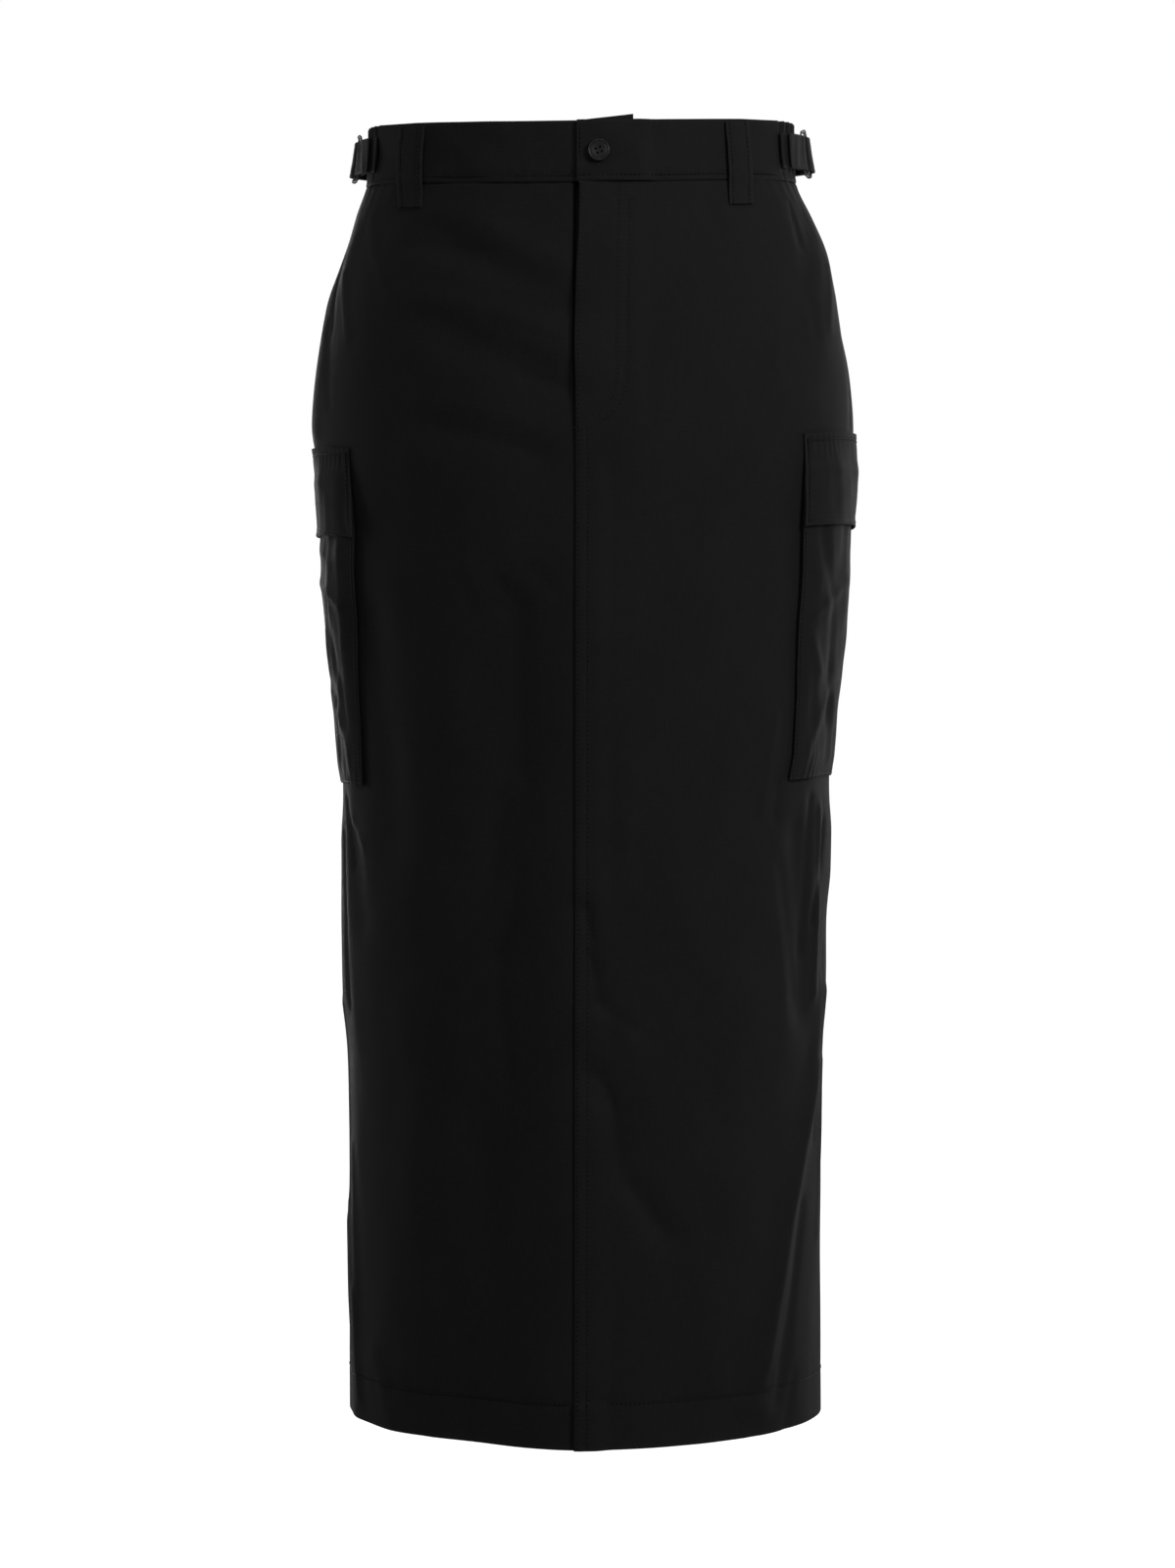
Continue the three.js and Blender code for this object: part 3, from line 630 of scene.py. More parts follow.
def hem_relief(angle, drop):
    """The groove of the hem's stitching, and the slight pull along it."""
    groove = np.exp(-(((drop - TURNUP_DROP - 1) / 1.6) ** 2))
    pull = puckers(round_either_way(angle) * 150, 17, 2.0) * np.exp(-(((drop - TURNUP_DROP) / 9) ** 2))
    return -0.2 * groove - 0.35 * pull


def waist_tuck(angle, drop):
    """The panels' top edge turns up inside the waistband, with small gathers near the adjusters."""
    depth = drop - SEAM_DROP
    turned = -2.4 * (1 - smooth((depth + 3) / 4.5))
    beside = np.exp(-(((np.abs(np.cos(angle)) - 0.1) / 0.3) ** 2))
    fades = np.exp(-np.maximum(depth, 0) / 16)
    gathers = -puckers(round_either_way(angle) * 110, 11, 1.0) * fades * (0.25 + 1.3 * beside)
    return turned + gathers


def panel_piece(name, side):
    drop = PANEL_DROPS[:, None]
    if side > 0:
        near = np.concatenate([
            [0, 0.3, 0.7, 1.2], np.arange(1.7, 13, 0.75), np.arange(13.5, 26, 2), np.arange(26, 40, 1.2),
            np.arange(41, 56, 2.4),
        ])
        even = 84
    else:
        near = -np.concatenate([-np.array([1, 0.75, 0.5, 0.25, 0.1]), np.arange(0, 10, 0.6), [11, 13, 15.5]])
        even = 100
    x = np.where(near[None, :] * (side < 0) > 0, near[None, :] * lap_width(drop), near[None, :])
    if side > 0:
        x = x + lap_edge(drop) * np.clip(1 - x / SEAM_LAP, 0, 1)
    start = angle_across(x[:, -1:], row_height(drop, 0))
    end = side * np.pi / 2
    share = np.concatenate([np.linspace(0, 0.985, even + 1)[1:], [0.99, 0.994, 0.997, 1]])[None, :]
    angle = np.concatenate([angle_across(x, row_height(drop, 0)), start + (end - start) * share], axis=1)
    wide = np.sin(angle) * width_at(drop)
    out = hem_relief(angle, drop) + waist_tuck(angle, drop) + side_seam(angle)
    rubbed = HEM_WEAR_AND_HIGHLIGHT
    if side < 0:
        out = out + fly_hollow(wide, drop)
    else:
        wide = wide - lap_edge(drop) * np.clip(1 - wide / SEAM_LAP, 0, 1)
        out = out + lap_rise(wide, drop)
        out -= EDGE_ROLL * np.clip(1 - wide / 1.2, 0, 1) ** 2
        below = smooth((drop - FLY_END_DROP + 4) / 10)
        for row in SEAM_ROWS:
            groove = np.exp(-(((wide - row) / 0.9) ** 2))
            out -= below * groove * (0.1 + 0.4 * puckers(drop, 5.5, row))
        out += below * 0.34 * puckers(drop, 7, 0.3) * np.exp(-(((wide - 5.2) / 3) ** 2))
        inside_fly = smooth((FLY_END_DROP - 6 - drop) / 30) * np.exp(-(((wide - 32) / 5) ** 2))
        out += 0.32 * inside_fly * puckers(drop + 0.5 * wide, 9, 1.7)
        for row in FLY_ROWS:
            distance = distance_to_curve(wide, drop, fly_curve(row, 12))
            out -= (0.1 + 0.42 * puckers(drop, 5.5, row["across"])) * np.exp(-((distance / 1.5) ** 2))
        # The fly's folded edge is painted paler over its puckers: partly wear, partly a painted highlight
        rubbed = rubbed + 0.3 * np.exp(-(wide / 0.8)) * puckers(drop, 7, 1.0)
    height = row_height(drop, angle)
    return cloth_piece(
        name, on_body(angle, height, out), on_body(angle, height, out - PANEL_THICKNESS), rubbed,
    )


front_right = panel_piece("front_right_cloth", -1)
front_left = panel_piece("front_left_cloth", 1)

# The back panel.
# One panel of the same cotton, shaped to the waist by two plain darts and turned up at the hem.
DARTS = [{"angle": 152, "end": 135}, {"angle": -152, "end": 135}]
BACK_COLUMNS = 170

drop = PANEL_DROPS[:, None]
beside = np.array([0, 0.3, 0.8, 1.6, 3]) / SIDE_RADIUS
around = np.concatenate([
    beside[:-1], np.linspace(beside[-1], np.pi - beside[-1], BACK_COLUMNS), np.pi - beside[-2::-1],
])
angle = np.pi / 2 + around[None, :]
back_out = hem_relief(angle, drop) + waist_tuck(angle, drop) + side_seam(angle)
for dart in DARTS:
    turn = np.degrees(angle) - dart["angle"]
    away = np.abs(turn - 360 * np.round(turn / 360)) * DEGREE_LENGTH * 0.8
    fades = np.clip((dart["end"] - drop) / 60, 0, 1)
    back_out -= 1.1 * fades * np.exp(-((away / 2.6) ** 2))
height = row_height(drop, angle)
back = cloth_piece(
    "back_cloth", on_body(angle, height, back_out), on_body(angle, height, back_out - PANEL_THICKNESS),
    HEM_WEAR_AND_HIGHLIGHT,
)

# The waistband.
# Folded, interfaced cotton in three lengths: the left front laps over the underlap end of the right
# one, and the sides are drawn in by the adjusters, in four small gathers before and behind each.
BAND_PROUD = 0.8
BAND_CLOTH = 2.0
BAND_LAP = 2.7
UNDERLAP_RISE = 4
BAND_STITCH = 4.2
GATHERS = {"start": 4, "end": 40, "pitch": 9, "depth": 2.2}


def on_side(turn, z):
    """Places on the body a turn away from the side line, forwards above 0, for the side at +X."""
    depth = np.where(turn > 0, front_at(-z), back_at(-z))
    return (
        width_at(-z) * signed_power(np.cos(turn), 2 / ROUNDNESS),
        -depth * signed_power(np.sin(turn), 2 / ROUNDNESS),
    )


def angle_from_side(side, forward, z):
    """The angles that lie a distance round the body from a side line, forwards above 0."""
    forward, z = np.broadcast_arrays(np.asarray(forward, float), np.asarray(z, float))
    turns = np.linspace(-1.3, 1.3, 131)
    x, y = on_side(turns[None, :], z.reshape(-1, 1))
    steps = np.hypot(np.diff(x, axis=1), np.diff(y, axis=1))
    travel = np.concatenate([np.zeros((len(x), 1)), np.cumsum(steps, axis=1)], axis=1)
    travel -= travel[:, [len(turns) // 2]]
    wanted = forward.reshape(-1, 1)
    i = np.clip((travel < wanted).sum(1) - 1, 0, len(turns) - 2)
    n = np.arange(len(i))
    t = (wanted[:, 0] - travel[n, i]) / (travel[n, i + 1] - travel[n, i])
    turn = turns[i] + t * (turns[1] - turns[0])
    return side * (np.pi / 2 - turn.reshape(forward.shape))


def gather_depth(from_side):
    reach = np.abs(from_side)
    drawn = np.sin(np.pi * (reach - GATHERS["start"]) / GATHERS["pitch"]) ** 2
    inside = (reach > GATHERS["start"]) & (reach < GATHERS["end"])
    return GATHERS["depth"] * drawn * inside


def band_piece(name, angle, gather, lap, rise):
    """A length of band over its angles, with each place's gather, lap outwards and rise at the top."""
    up = np.concatenate([[0, 0.008, 0.02], np.linspace(0.04, 0.95, 26), [0.975, 0.99, 1]])[:, None]
    z = waist_line(angle) + (up - 0.5) * BAND_HEIGHT + (1 - 2 * up) * SEAM_GAP / 2 + up * rise
    from_seam, from_top = up * BAND_HEIGHT, (1 - up) * BAND_HEIGHT
    travel = angle * SIDE_RADIUS
    out = BAND_PROUD + lap - gather * (0.15 + 0.85 * up)
    out = out - 0.55 * np.exp(-((from_seam / 0.7) ** 2)) - 0.5 * np.exp(-((from_top / 0.7) ** 2))
    stitched = np.exp(-(((from_seam - BAND_STITCH) / 1.9) ** 2))
    out -= stitched * (0.1 + 0.6 * puckers(travel, 4.6, 0.5))
    out += 0.5 * puckers(travel, 10, 1.5) * np.exp(-(((from_seam - 9) / 5) ** 2)) - 0.15
    out += 0.22 * np.sin(travel / 13 + from_seam / 9) * np.sin(travel / 31)
    out += 0.45 * np.sin((travel + 1.5 * from_seam) / 8.5) * np.sin(travel / 29 + 0.6) ** 2
    # The band's folded top edge and its seam are painted paler: partly wear, partly a painted highlight
    rubbed = 0.75 * np.exp(-(from_top / 1.4)) * (0.45 + 0.55 * puckers(travel, 6, 0.2))
    rubbed = rubbed + 0.35 * np.exp(-(from_seam / 1.2))
    outer = on_body(angle, z, out)
    inner = on_body(angle, z, out - BAND_CLOTH + 0.8 * np.exp(-((from_top / 0.7) ** 2)))
    return cloth_piece(name, outer, inner, rubbed)


def front_band(name, side):
    across = np.concatenate([[0, 0.3, 0.8], np.linspace(1.6, 112, 62)])
    if side < 0:
        across = np.concatenate([-np.linspace(FLY_LAP, 1.5, 22), across])
    round_side = np.linspace(GATHERS["end"], 0, 60)
    angle = np.concatenate([
        side * angle_across(across, 0.0), angle_from_side(side, round_side, 0.0),
    ])[None, :]
    gather = np.concatenate([0 * across, gather_depth(round_side)])[None, :]
    x = np.concatenate([across, np.full(len(round_side), 200.0)])[None, :]
    if side > 0:
        lap = BAND_LAP * (1 - smooth((x - FLY_LAP - 2) / LAP_RAMP))
        rise = 0
    else:
        lap = 0 * x
        rise = UNDERLAP_RISE * np.clip(-x / FLY_LAP, 0, 1)
    return band_piece(name, angle, gather, lap, rise)


waistband_right = front_band("waistband_right_cloth", -1)
waistband_left = front_band("waistband_left_cloth", 1)
round_side = np.linspace(0, -GATHERS["end"], 60)
left_end = angle_from_side(1, round_side, 0.0)
right_end = angle_from_side(-1, round_side, 0.0) + 2 * np.pi
middle = np.linspace(left_end[-1], right_end[-1], 90)[1:-1]
waistband_back = band_piece(
    "waistband_back_cloth",
    np.concatenate([left_end, middle, right_end[::-1]])[None, :],
    np.concatenate([gather_depth(round_side), 0 * middle, gather_depth(round_side[::-1])])[None, :],
    0, 0,
)

# The belt loops.
# Strips of cotton folded to 17 mm, sewn down under the band's top edge and 18 mm below its seam.
LOOP_WIDTH = 17
LOOP_CLOTH = 1.6
LOOP_BELOW_SEAM = 18
LOOP_BELOW_TOP = 2
LOOPS = [
    {"name": "right", "top": -114, "bottom": -116, "behind": False},
    {"name": "left", "top": 108.5, "bottom": 111.5, "behind": False},
    {"name": "back", "top": 0, "bottom": 0, "behind": True},
]
LOOP_LENGTH = BAND_HEIGHT + LOOP_BELOW_SEAM - LOOP_BELOW_TOP
LOOP_ROUTE = [(0, 0.4), (6, 0.4), (12, 1.1), (20, 2.2), (30, 2.6), (42, 2.4), (50, 1.6), (LOOP_LENGTH, 1.2)]


def route_curve(route, count):
    """A smooth line through a route's places, as many steps apart evenly."""
    route = np.array(route, float)
    ends = np.concatenate([[2 * route[0] - route[1]], route, [2 * route[-1] - route[-2]]])
    points = []
    for k in range(len(route) - 1):
        a, b, c, d = ends[k:k + 4]
        for t in np.linspace(0, 1, 24, endpoint=False):
            points.append(0.5 * (2 * b + (c - a) * t + (2 * a - 5 * b + 4 * c - d) * t * t
                                 + (3 * b - a - 3 * c + d) * t ** 3))
    points = np.array([*points, route[-1]])
    travel = np.concatenate([[0], np.cumsum(np.hypot(*np.diff(points, axis=0).T))])
    even = np.linspace(0, travel[-1], count)
    return np.stack([np.interp(even, travel, points[:, k]) for k in range(2)], 1)


def on_loop(loop, up, across, out):
    x = loop["bottom"] + (loop["top"] - loop["bottom"]) * up / LOOP_LENGTH + across
    foot = seam_height(angle_across(x, -float(SEAM_DROP))) if not loop["behind"] else seam_height(np.pi)
    z = foot - LOOP_BELOW_SEAM + up
    front = angle_across(x, z)
    return on_body(np.pi - front if loop["behind"] else front, z, out)


for loop in LOOPS:
    route = route_curve(LOOP_ROUTE, 46)
    up, lift = route[:, :1], route[:, 1:]
    across = LOOP_WIDTH * np.linspace(-0.5, 0.5, 17)[None, :]
    edge = np.exp(-((LOOP_WIDTH / 2 - np.abs(across)) / 0.6))
    end = np.exp(-(up / 0.8)) + np.exp(-((LOOP_LENGTH - up) / 0.8))
    grooves = np.exp(-(((np.abs(across) - LOOP_WIDTH / 2 + 2.6) / 1.2) ** 2))
    thick = LOOP_CLOTH - 0.5 * edge - 0.5 * np.clip(end, 0, 1) - 0.35 * grooves
    thick = thick + 0.12 * np.sin(up / 2.7 + across / 6)
    # The loop's edges and ends are painted paler: partly wear, partly a painted highlight
    loop_cloth = cloth_piece(
        f"belt_loop_{loop['name']}_cloth",
        on_loop(loop, up, across, lift + thick), on_loop(loop, up, across, lift),
        0.8 * edge + 0.4 * end,
    )

# The side adjusters.
# On each side a tab of folded cotton, 24.5 mm wide, holds a black wire slide by its front wire. A strap
# of the same width from the back runs under the slide's back wire, round its bar and back over itself.
STRAP_WIDTH = 24.5
STRAP_CLOTH = 1.4
ADJUSTER_LEAN = 0.01
ADJUSTER_FLARE = 0.42
BUCKLE = {"height": 31.5, "width": 13, "wire": 0.75, "corner": 3, "lift": 8.5, "eye": 1.25, "eye_wire": 0.5}
TAB_ROUTE = [
    (38, 2.05), (32, 2.05), (25, 3.3), (18, 4.9), (12, 6), (7.5, 6.3), (4.8, 6.9), (4.2, 8.5),
    (4.9, 10.1), (7.5, 10.7), (12, 9.4), (18, 7.6), (24, 6), (30, 4.7),
]
STRAP_ROUTE = [
    (-84, 2.05), (-60, 2.05), (-40, 2.3), (-22, 3.8), (-12, 5.7), (-6.5, 6.2), (-1, 6.3), (1.7, 7.1),
    (2.2, 8.5), (1.5, 10.1), (-1.2, 10.8), (-6.5, 11), (-12, 9.6), (-20, 7.3), (-30, 5), (-56, 4.5),
]


def on_adjuster(side, forward, up, out):
    """Places on an adjuster, which follows the waistband and flares outwards to the back at its slide."""
    angle = angle_from_side(side, forward, 0.0)
    flare = -ADJUSTER_FLARE * forward * np.exp(-((forward / 16) ** 2))
    return on_body(angle, waist_line(angle) + up, (out + flare) * (1 - ADJUSTER_LEAN * up), plain=True)


def strip_faces(route, thickness, count):
    """The two faces of a strip seen edge-on, from the line along its middle."""
    middle = route_curve(route, count)
    along = np.gradient(middle, axis=0)
    along /= np.linalg.norm(along, axis=1, keepdims=True)
    side = np.stack([-along[:, 1], along[:, 0]], 1) * thickness / 2
    return middle + side, middle - side


for name, side in (("right", -1), ("left", 1)):
    for kind, route, cut in (("tab", TAB_ROUTE, 0.074), ("strap", STRAP_ROUTE, 0.142)):
        faces = strip_faces(route, STRAP_CLOTH, 120)
        up = np.concatenate([[-0.5, -0.485], np.linspace(-0.45, 0.45, 15), [0.485, 0.5]])
        up = STRAP_WIDTH * up[None, :]
        edge = np.exp(-((STRAP_WIDTH / 2 - np.abs(up)) / 0.7))
        travel = np.arange(120)[:, None]
        ripple = 0.22 * np.sin(travel / 4.1 + up / 9) * np.cos(travel / 11 + up / 17)
        groove = np.exp(-(((np.abs(up) - STRAP_WIDTH / 2 + 3) / 1.1) ** 2))
        grids = []
        for sign, face in ((1, faces[0]), (-1, faces[1])):
            shift = sign * (-0.35 * edge - 0.15 * groove) + ripple
            normal = (faces[0] - faces[1]) / STRAP_CLOTH
            grids.append(on_adjuster(
                side, face[:, :1] + normal[:, :1] * shift, up, face[:, 1:] + normal[:, 1:] * shift,
            ))
        # The strip's edges are painted paler: partly wear, partly a painted highlight
        strip = cloth_piece(f"adjuster_{kind}_{name}_cloth", grids[0], grids[1], 0.9 * edge)

# The slides' black enamel, worn through to the wire in small places
ENAMEL = (0.009, 0.009, 0.010, 1)
BARE_WIRE = (0.06, 0.06, 0.065, 1)
enamel = Finish(bpy.data.materials.new("black_enamel"))
place = enamel.add("ShaderNodeTexCoord", {}, {}, 3)
specks = enamel.noise(place, 900.0, 3.0)
bare = enamel.add("ShaderNodeValToRGB", {"stops": (0.62, 0.7)}, {0: enamel.noise(place, 160.0, 2.0)})
enamel.surface(
    Base_Color=enamel.between(bare, ENAMEL, BARE_WIRE), Roughness=specks * 0.2 + 0.22, Metallic=bare * 0.7,
    Normal=enamel.bump(0.3, 0.00008, specks),
)


def outward_faces(piece):
    bpy.ops.object.select_all(action="DESELECT")
    piece.select_set(True)
    bpy.context.view_layer.objects.active = piece
    bpy.ops.object.mode_set(mode="EDIT")
    bpy.ops.mesh.select_all(action="SELECT")
    bpy.ops.mesh.normals_make_consistent(inside=False)
    bpy.ops.object.mode_set(mode="OBJECT")
    piece.select_set(False)


def put_in_place(piece, place):
    """Moves a hard piece from the drawing board to its place on the skirt, point by point."""
    points = np.empty(len(piece.data.vertices) * 3)
    piece.data.vertices.foreach_get("co", points)
    piece.data.vertices.foreach_set("co", (place(points.reshape(-1, 3) / MM) * MM).ravel())
    piece.data.update()


# Each slide: a rectangle of wire with round corners, and a bar whose ends are bent round the frame
for name, side in (("right", -1), ("left", 1)):
    bpy.ops.mesh.primitive_plane_add(size=1)
    slide = bpy.context.object
    slide.scale = (BUCKLE["width"] * MM, BUCKLE["height"] * MM, 1)
    bpy.ops.object.transform_apply(location=False, rotation=False, scale=True)
    bpy.ops.object.mode_set(mode="EDIT")
    bpy.ops.mesh.select_all(action="SELECT")
    bpy.ops.mesh.bevel(offset=BUCKLE["corner"] * MM, segments=6, affect="VERTICES")
    bpy.ops.mesh.delete(type="ONLY_FACE")
    bpy.ops.object.mode_set(mode="OBJECT")
    bpy.ops.object.convert(target="CURVE")
    slide.data.bevel_depth = BUCKLE["wire"] * MM
    slide.data.bevel_resolution = 4
    bpy.ops.object.convert(target="MESH")
    parts = [slide]
    bpy.ops.mesh.primitive_cylinder_add(
        vertices=16, radius=BUCKLE["wire"] * MM, depth=BUCKLE["height"] * MM, rotation=(math.pi / 2, 0, 0),
    )
    parts.append(bpy.context.object)
    for end in (-1, 1):
        bpy.ops.mesh.primitive_torus_add(
            major_radius=BUCKLE["eye"] * MM, minor_radius=BUCKLE["eye_wire"] * MM,
            major_segments=24, minor_segments=8,
            location=(0, end * BUCKLE["height"] / 2 * MM, 0), rotation=(0, math.pi / 2, 0),
        )
        parts.append(bpy.context.object)
    for part in parts:
        part.select_set(True)
    bpy.context.view_layer.objects.active = slide
    bpy.ops.object.join()
    bpy.ops.object.transform_apply()
    # To the side of the waistband, bent to it as the strap is
    put_in_place(slide, lambda flat: on_adjuster(side, flat[:, 0], flat[:, 1], BUCKLE["lift"] + flat[:, 2]))
    bpy.ops.object.mode_set(mode="EDIT")
    bpy.ops.mesh.select_all(action="SELECT")
    bpy.ops.mesh.remove_doubles(threshold=1e-6)
    bpy.ops.object.mode_set(mode="OBJECT")
    outward_faces(slide)
    shade(slide, 60)
    slide.name = f"adjuster_slide_{name}"
    slide.data.materials.clear()
    slide.data.materials.append(enamel.owner)
    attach(slide, "root")
    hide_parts(f"adjuster_buckle_{name}")

# The cargo pockets.
# A flat face with a bellows fold round its sides and bottom, edge-stitched to the skirt over the
# side seam, under a flap of doubled cotton whose lower edge stands a little proud.
POCKET_RISE = 6.5
FACE_BELOW_SEAM = 22
FACE_LIFT = 3.5
FACE_CLOTH = 1.2
FLAP_CLOTH = 1.8
FLAP_OVERHANG = 1.5
FLAP_STITCH = 3
POCKETS = [
    {
        "name": "right", "side": -1, "cut": 0.152,
        "seam": 211, "flap": 62, "bottom": 446, "forward": 71, "back": 82,
        "edge": [(211, -3.5), (274, -3.5), (330, -5), (374, -7.5), (446, -7)],
        "creases": [
            ([(8, 281), (42, 294)], 5, 0.74), ([(5, 305), (30, 309), (57, 322)], 4, 0.93),
            ([(57, 281), (58, 349)], 4, 0.81), ([(28, 318), (44, 370)], 6, -1.12),
            ([(20, 340), (26, 400)], 7, 0.81), ([(40, 398), (50, 412), (60, 438)], 5, 0.99),
            ([(50, 372), (56, 404)], 4, -0.87), ([(12, 372), (36, 388)], 5, -0.74),
        ],
    },
    {
        "name": "left", "side": 1, "cut": 0.158,
        "seam": 203, "flap": 64, "bottom": 441, "forward": 74.5, "back": 82,
        "edge": [(203, 4), (264, -2), (298, -1.5), (332, -0.5), (383, -3), (425, -2.5), (441, 1.5)],
        "creases": [
            ([(58, 272), (52, 292), (43, 318)], 5, -1.12), ([(72, 332), (50, 322), (18, 305)], 4, 0.99),
            ([(66, 340), (52, 368)], 4, 0.81), ([(40, 330), (36, 400)], 6, -0.87),
            ([(70, 436), (52, 404), (34, 376)], 5, 1.18), ([(24, 388), (20, 432)], 5, 0.81),
            ([(20, 262), (26, 300)], 6, 0.81), ([(60, 372), (58, 404)], 5, -0.81),
        ],
    },
]
FLAP_DOWN = (0, 0.1, 0.28, 0.4, 0.62, 0.84, 1)
FLAP_LIFT = (0.5, 0.8, 2.0, 3.9, 5.3, 6.3, 6.8)
FLAP_PINCH = {"share": 0.4, "reach": 9}
GUSSET_FOLD = [
    (-0.9, 0.8), (-3, 0.8), (-7, 0.9), (-9.2, 1.2), (-9.8, 1.85), (-9.2, 2.5), (-7, 2.75), (-0.6, 2.8),
]
BULGE = {"mouth": -1.5, "belly": 1.2, "bottom": -2.9, "front": -1.5}
GUSSET_CLOTH = 0.7


def on_pocket(pocket, forward, drop, out):
    """Places on a pocket, so far forward of the side seam; its front edge wanders a little."""
    wander = np.interp(drop, *zip(*pocket["edge"]))
    reach = forward + wander * np.clip(forward / 40, 0, 1)
    middle = (pocket["forward"] - pocket["back"]) / 2
    half = (pocket["forward"] + pocket["back"]) / 2
    depth = (drop - pocket["seam"]) / (pocket["bottom"] - pocket["seam"])
    hump = POCKET_RISE * (1 - np.clip(np.abs(reach - middle) / half, 0, 1) ** 2)
    z = -drop + hump * (1 - 0.5 * depth)
    return on_body(angle_from_side(pocket["side"], reach, z), z, out)


def pocket_creases(pocket, f, drop):
    """Crumples of a worn pocket: its own few folds, over small lengthwise ones."""
    seed = pocket["side"] + 1.3
    long = 0.5 * np.sin(f / 10 + 1.3 * np.sin(drop / 43 + seed) + seed)
    small = 0.45 * np.sin(f / 4.6 + drop / 27 + 2 * seed) * np.sin(drop / 21 - f / 33)
    fine = 0.28 * np.sin(f / 3.1 - drop / 13 + seed) * np.sin(drop / 9 + f / 8 + 3 * seed)
    return long + small + fine + lines_relief(pocket["creases"], f, drop)


def bulge(pocket, f, drop):
    """The pocket lies flat at its mouth, fills below the flap and lies close again over the hip."""
    below = drop - pocket["seam"] - FACE_BELOW_SEAM
    filled = smooth((below - 20) / 35) * (1 - smooth((below - 60) / 80))
    low = smooth((below - 90) / 130) * smooth((68 - f) / 40)
    front = np.exp(-(((pocket["forward"] - f) / 9) ** 2))
    rise = BULGE["mouth"] * (1 - smooth(below / 28)) + BULGE["belly"] * filled + BULGE["bottom"] * low
    return rise + BULGE["front"] * front


def flap_lift(pocket, f, share):
    """How far the flap stands off the cloth, by the share of its way down; its front edge is drawn in."""
    from_front = pocket["forward"] + FLAP_OVERHANG - f
    pinch = FLAP_PINCH["share"] * np.exp(-((from_front / FLAP_PINCH["reach"]) ** 2))
    return np.interp(share, FLAP_DOWN, FLAP_LIFT) * (1 - pinch)


for pocket in POCKETS:
    name = pocket["name"]
    mouth = pocket["seam"] + FACE_BELOW_SEAM

    # The bellows: down the front edge, along the bottom and up the back edge
    down = np.linspace(mouth, pocket["bottom"], 90)
    across = np.linspace(pocket["forward"], -pocket["back"], 70)
    stations = [
        *[(pocket["forward"], d, 1, 0) for d in down[:-1]],
        (pocket["forward"], pocket["bottom"], 1, 1),
        *[(f, pocket["bottom"], 0, 1) for f in across[1:-1]],
        (-pocket["back"], pocket["bottom"], -1, 1),
        *[(-pocket["back"], d, -1, 0) for d in down[-2::-1]],
    ]
    stations = np.array(stations, float)[:, None, :]
    grids = []
    for face in strip_faces(GUSSET_FOLD, GUSSET_CLOTH, 34):
        reach, lift = face[None, :, 0], face[None, :, 1]
        travel = np.arange(len(stations))[:, None]
        stir = 0.25 * puckers(travel * 2.4, 9, pocket["side"]) * np.clip(reach / 4, 0, 1)
        grids.append(on_pocket(
            pocket, stations[..., 0] + reach * stations[..., 2],
            stations[..., 1] + reach * stations[..., 3],
            (lift + stir) * (1 + bulge(pocket, stations[..., 0], stations[..., 1]) / FACE_LIFT),
        ))
    # The gusset is painted a little paler all over: partly wear, partly a painted highlight
    gusset = cloth_piece(f"pocket_gusset_{name}_cloth", grids[0], grids[1], 0.3)

    # The face, pinched flat at its edges
    f = np.linspace(pocket["forward"], -pocket["back"], 110)[None, :]
    d = np.linspace(mouth, pocket["bottom"], 110)[:, None]
    from_edge = np.minimum(np.minimum(pocket["forward"] - f, f + pocket["back"]), pocket["bottom"] - d)
    loose = smooth(from_edge / 16)
    pinch = np.exp(-(((from_edge - 1.8) / 1.3) ** 2))
    travel = np.where(from_edge < pocket["bottom"] - d, d, f)
    at_front = smooth((f - 20) / 30)
    gathers = puckers(f, 7, pocket["side"] + 0.7) * np.exp(-(pocket["bottom"] - d) / 15) * at_front
    out = FACE_LIFT + FACE_CLOTH + bulge(pocket, f, d) + loose * (0.7 + pocket_creases(pocket, f, d))
    out = out - pinch * (0.15 + 0.3 * puckers(travel, 8, pocket["side"]))
    out += 0.9 * gathers - 0.5 * np.exp(-(from_edge / 0.6))
    # The face's edges are painted paler: partly wear, partly a painted highlight
    face_cloth = cloth_piece(
        f"pocket_face_{name}_cloth", on_pocket(pocket, f, d, out),
        on_pocket(pocket, f, d, out - FACE_CLOTH + 0.3), 0.8 * np.exp(-(from_edge / 1.2)),
    )

    # The flap, sewn along its top and hanging over the pocket's mouth
    f = np.linspace(pocket["forward"] + FLAP_OVERHANG, -pocket["back"] - FLAP_OVERHANG, 120)[None, :]
    share = np.concatenate([[0, 0.01], np.linspace(0.03, 0.96, 50), [0.98, 0.993, 1]])[:, None]
    d = pocket["seam"] + share * pocket["flap"]
    side_edge = np.minimum(pocket["forward"] + FLAP_OVERHANG - f, f + pocket["back"] + FLAP_OVERHANG)
    from_edge = np.minimum(side_edge, (1 - share) * pocket["flap"])
    top = share * pocket["flap"]
    lift = flap_lift(pocket, f, share)
    stitched = np.exp(-(((from_edge - FLAP_STITCH) / 1) ** 2)) + np.exp(-(((top - 5) / 1.2) ** 2))
    stir = pocket_creases(pocket, f, d - 40) * smooth(top / 26) * 0.6
    at_front = smooth((f - 20) / 30)
    pull = 1.3 * puckers(f, 6.5, pocket["side"]) * np.exp(-(((top - 8) / 7) ** 2)) * (0.3 + at_front)
    curl = 1.2 * smooth(1 - from_edge / 8) * smooth((top - 30) / 20)
    out = lift + FLAP_CLOTH + stir - pull * 0.5 + curl
    out = out - 0.3 * stitched - 0.6 * np.exp(-(from_edge / 0.7))
    inner = lift + np.maximum(stir, 0) + curl * 0.8
    # The flap's edges and top are painted paler: partly wear, partly a painted highlight
    flap = cloth_piece(
        f"pocket_flap_{name}_cloth", on_pocket(pocket, f, d, out),
        on_pocket(pocket, f, d, np.minimum(inner, out - 0.9)),
        0.85 * np.exp(-(from_edge / 1.1)) + 0.4 * np.exp(-(top / 1.2)),
    )

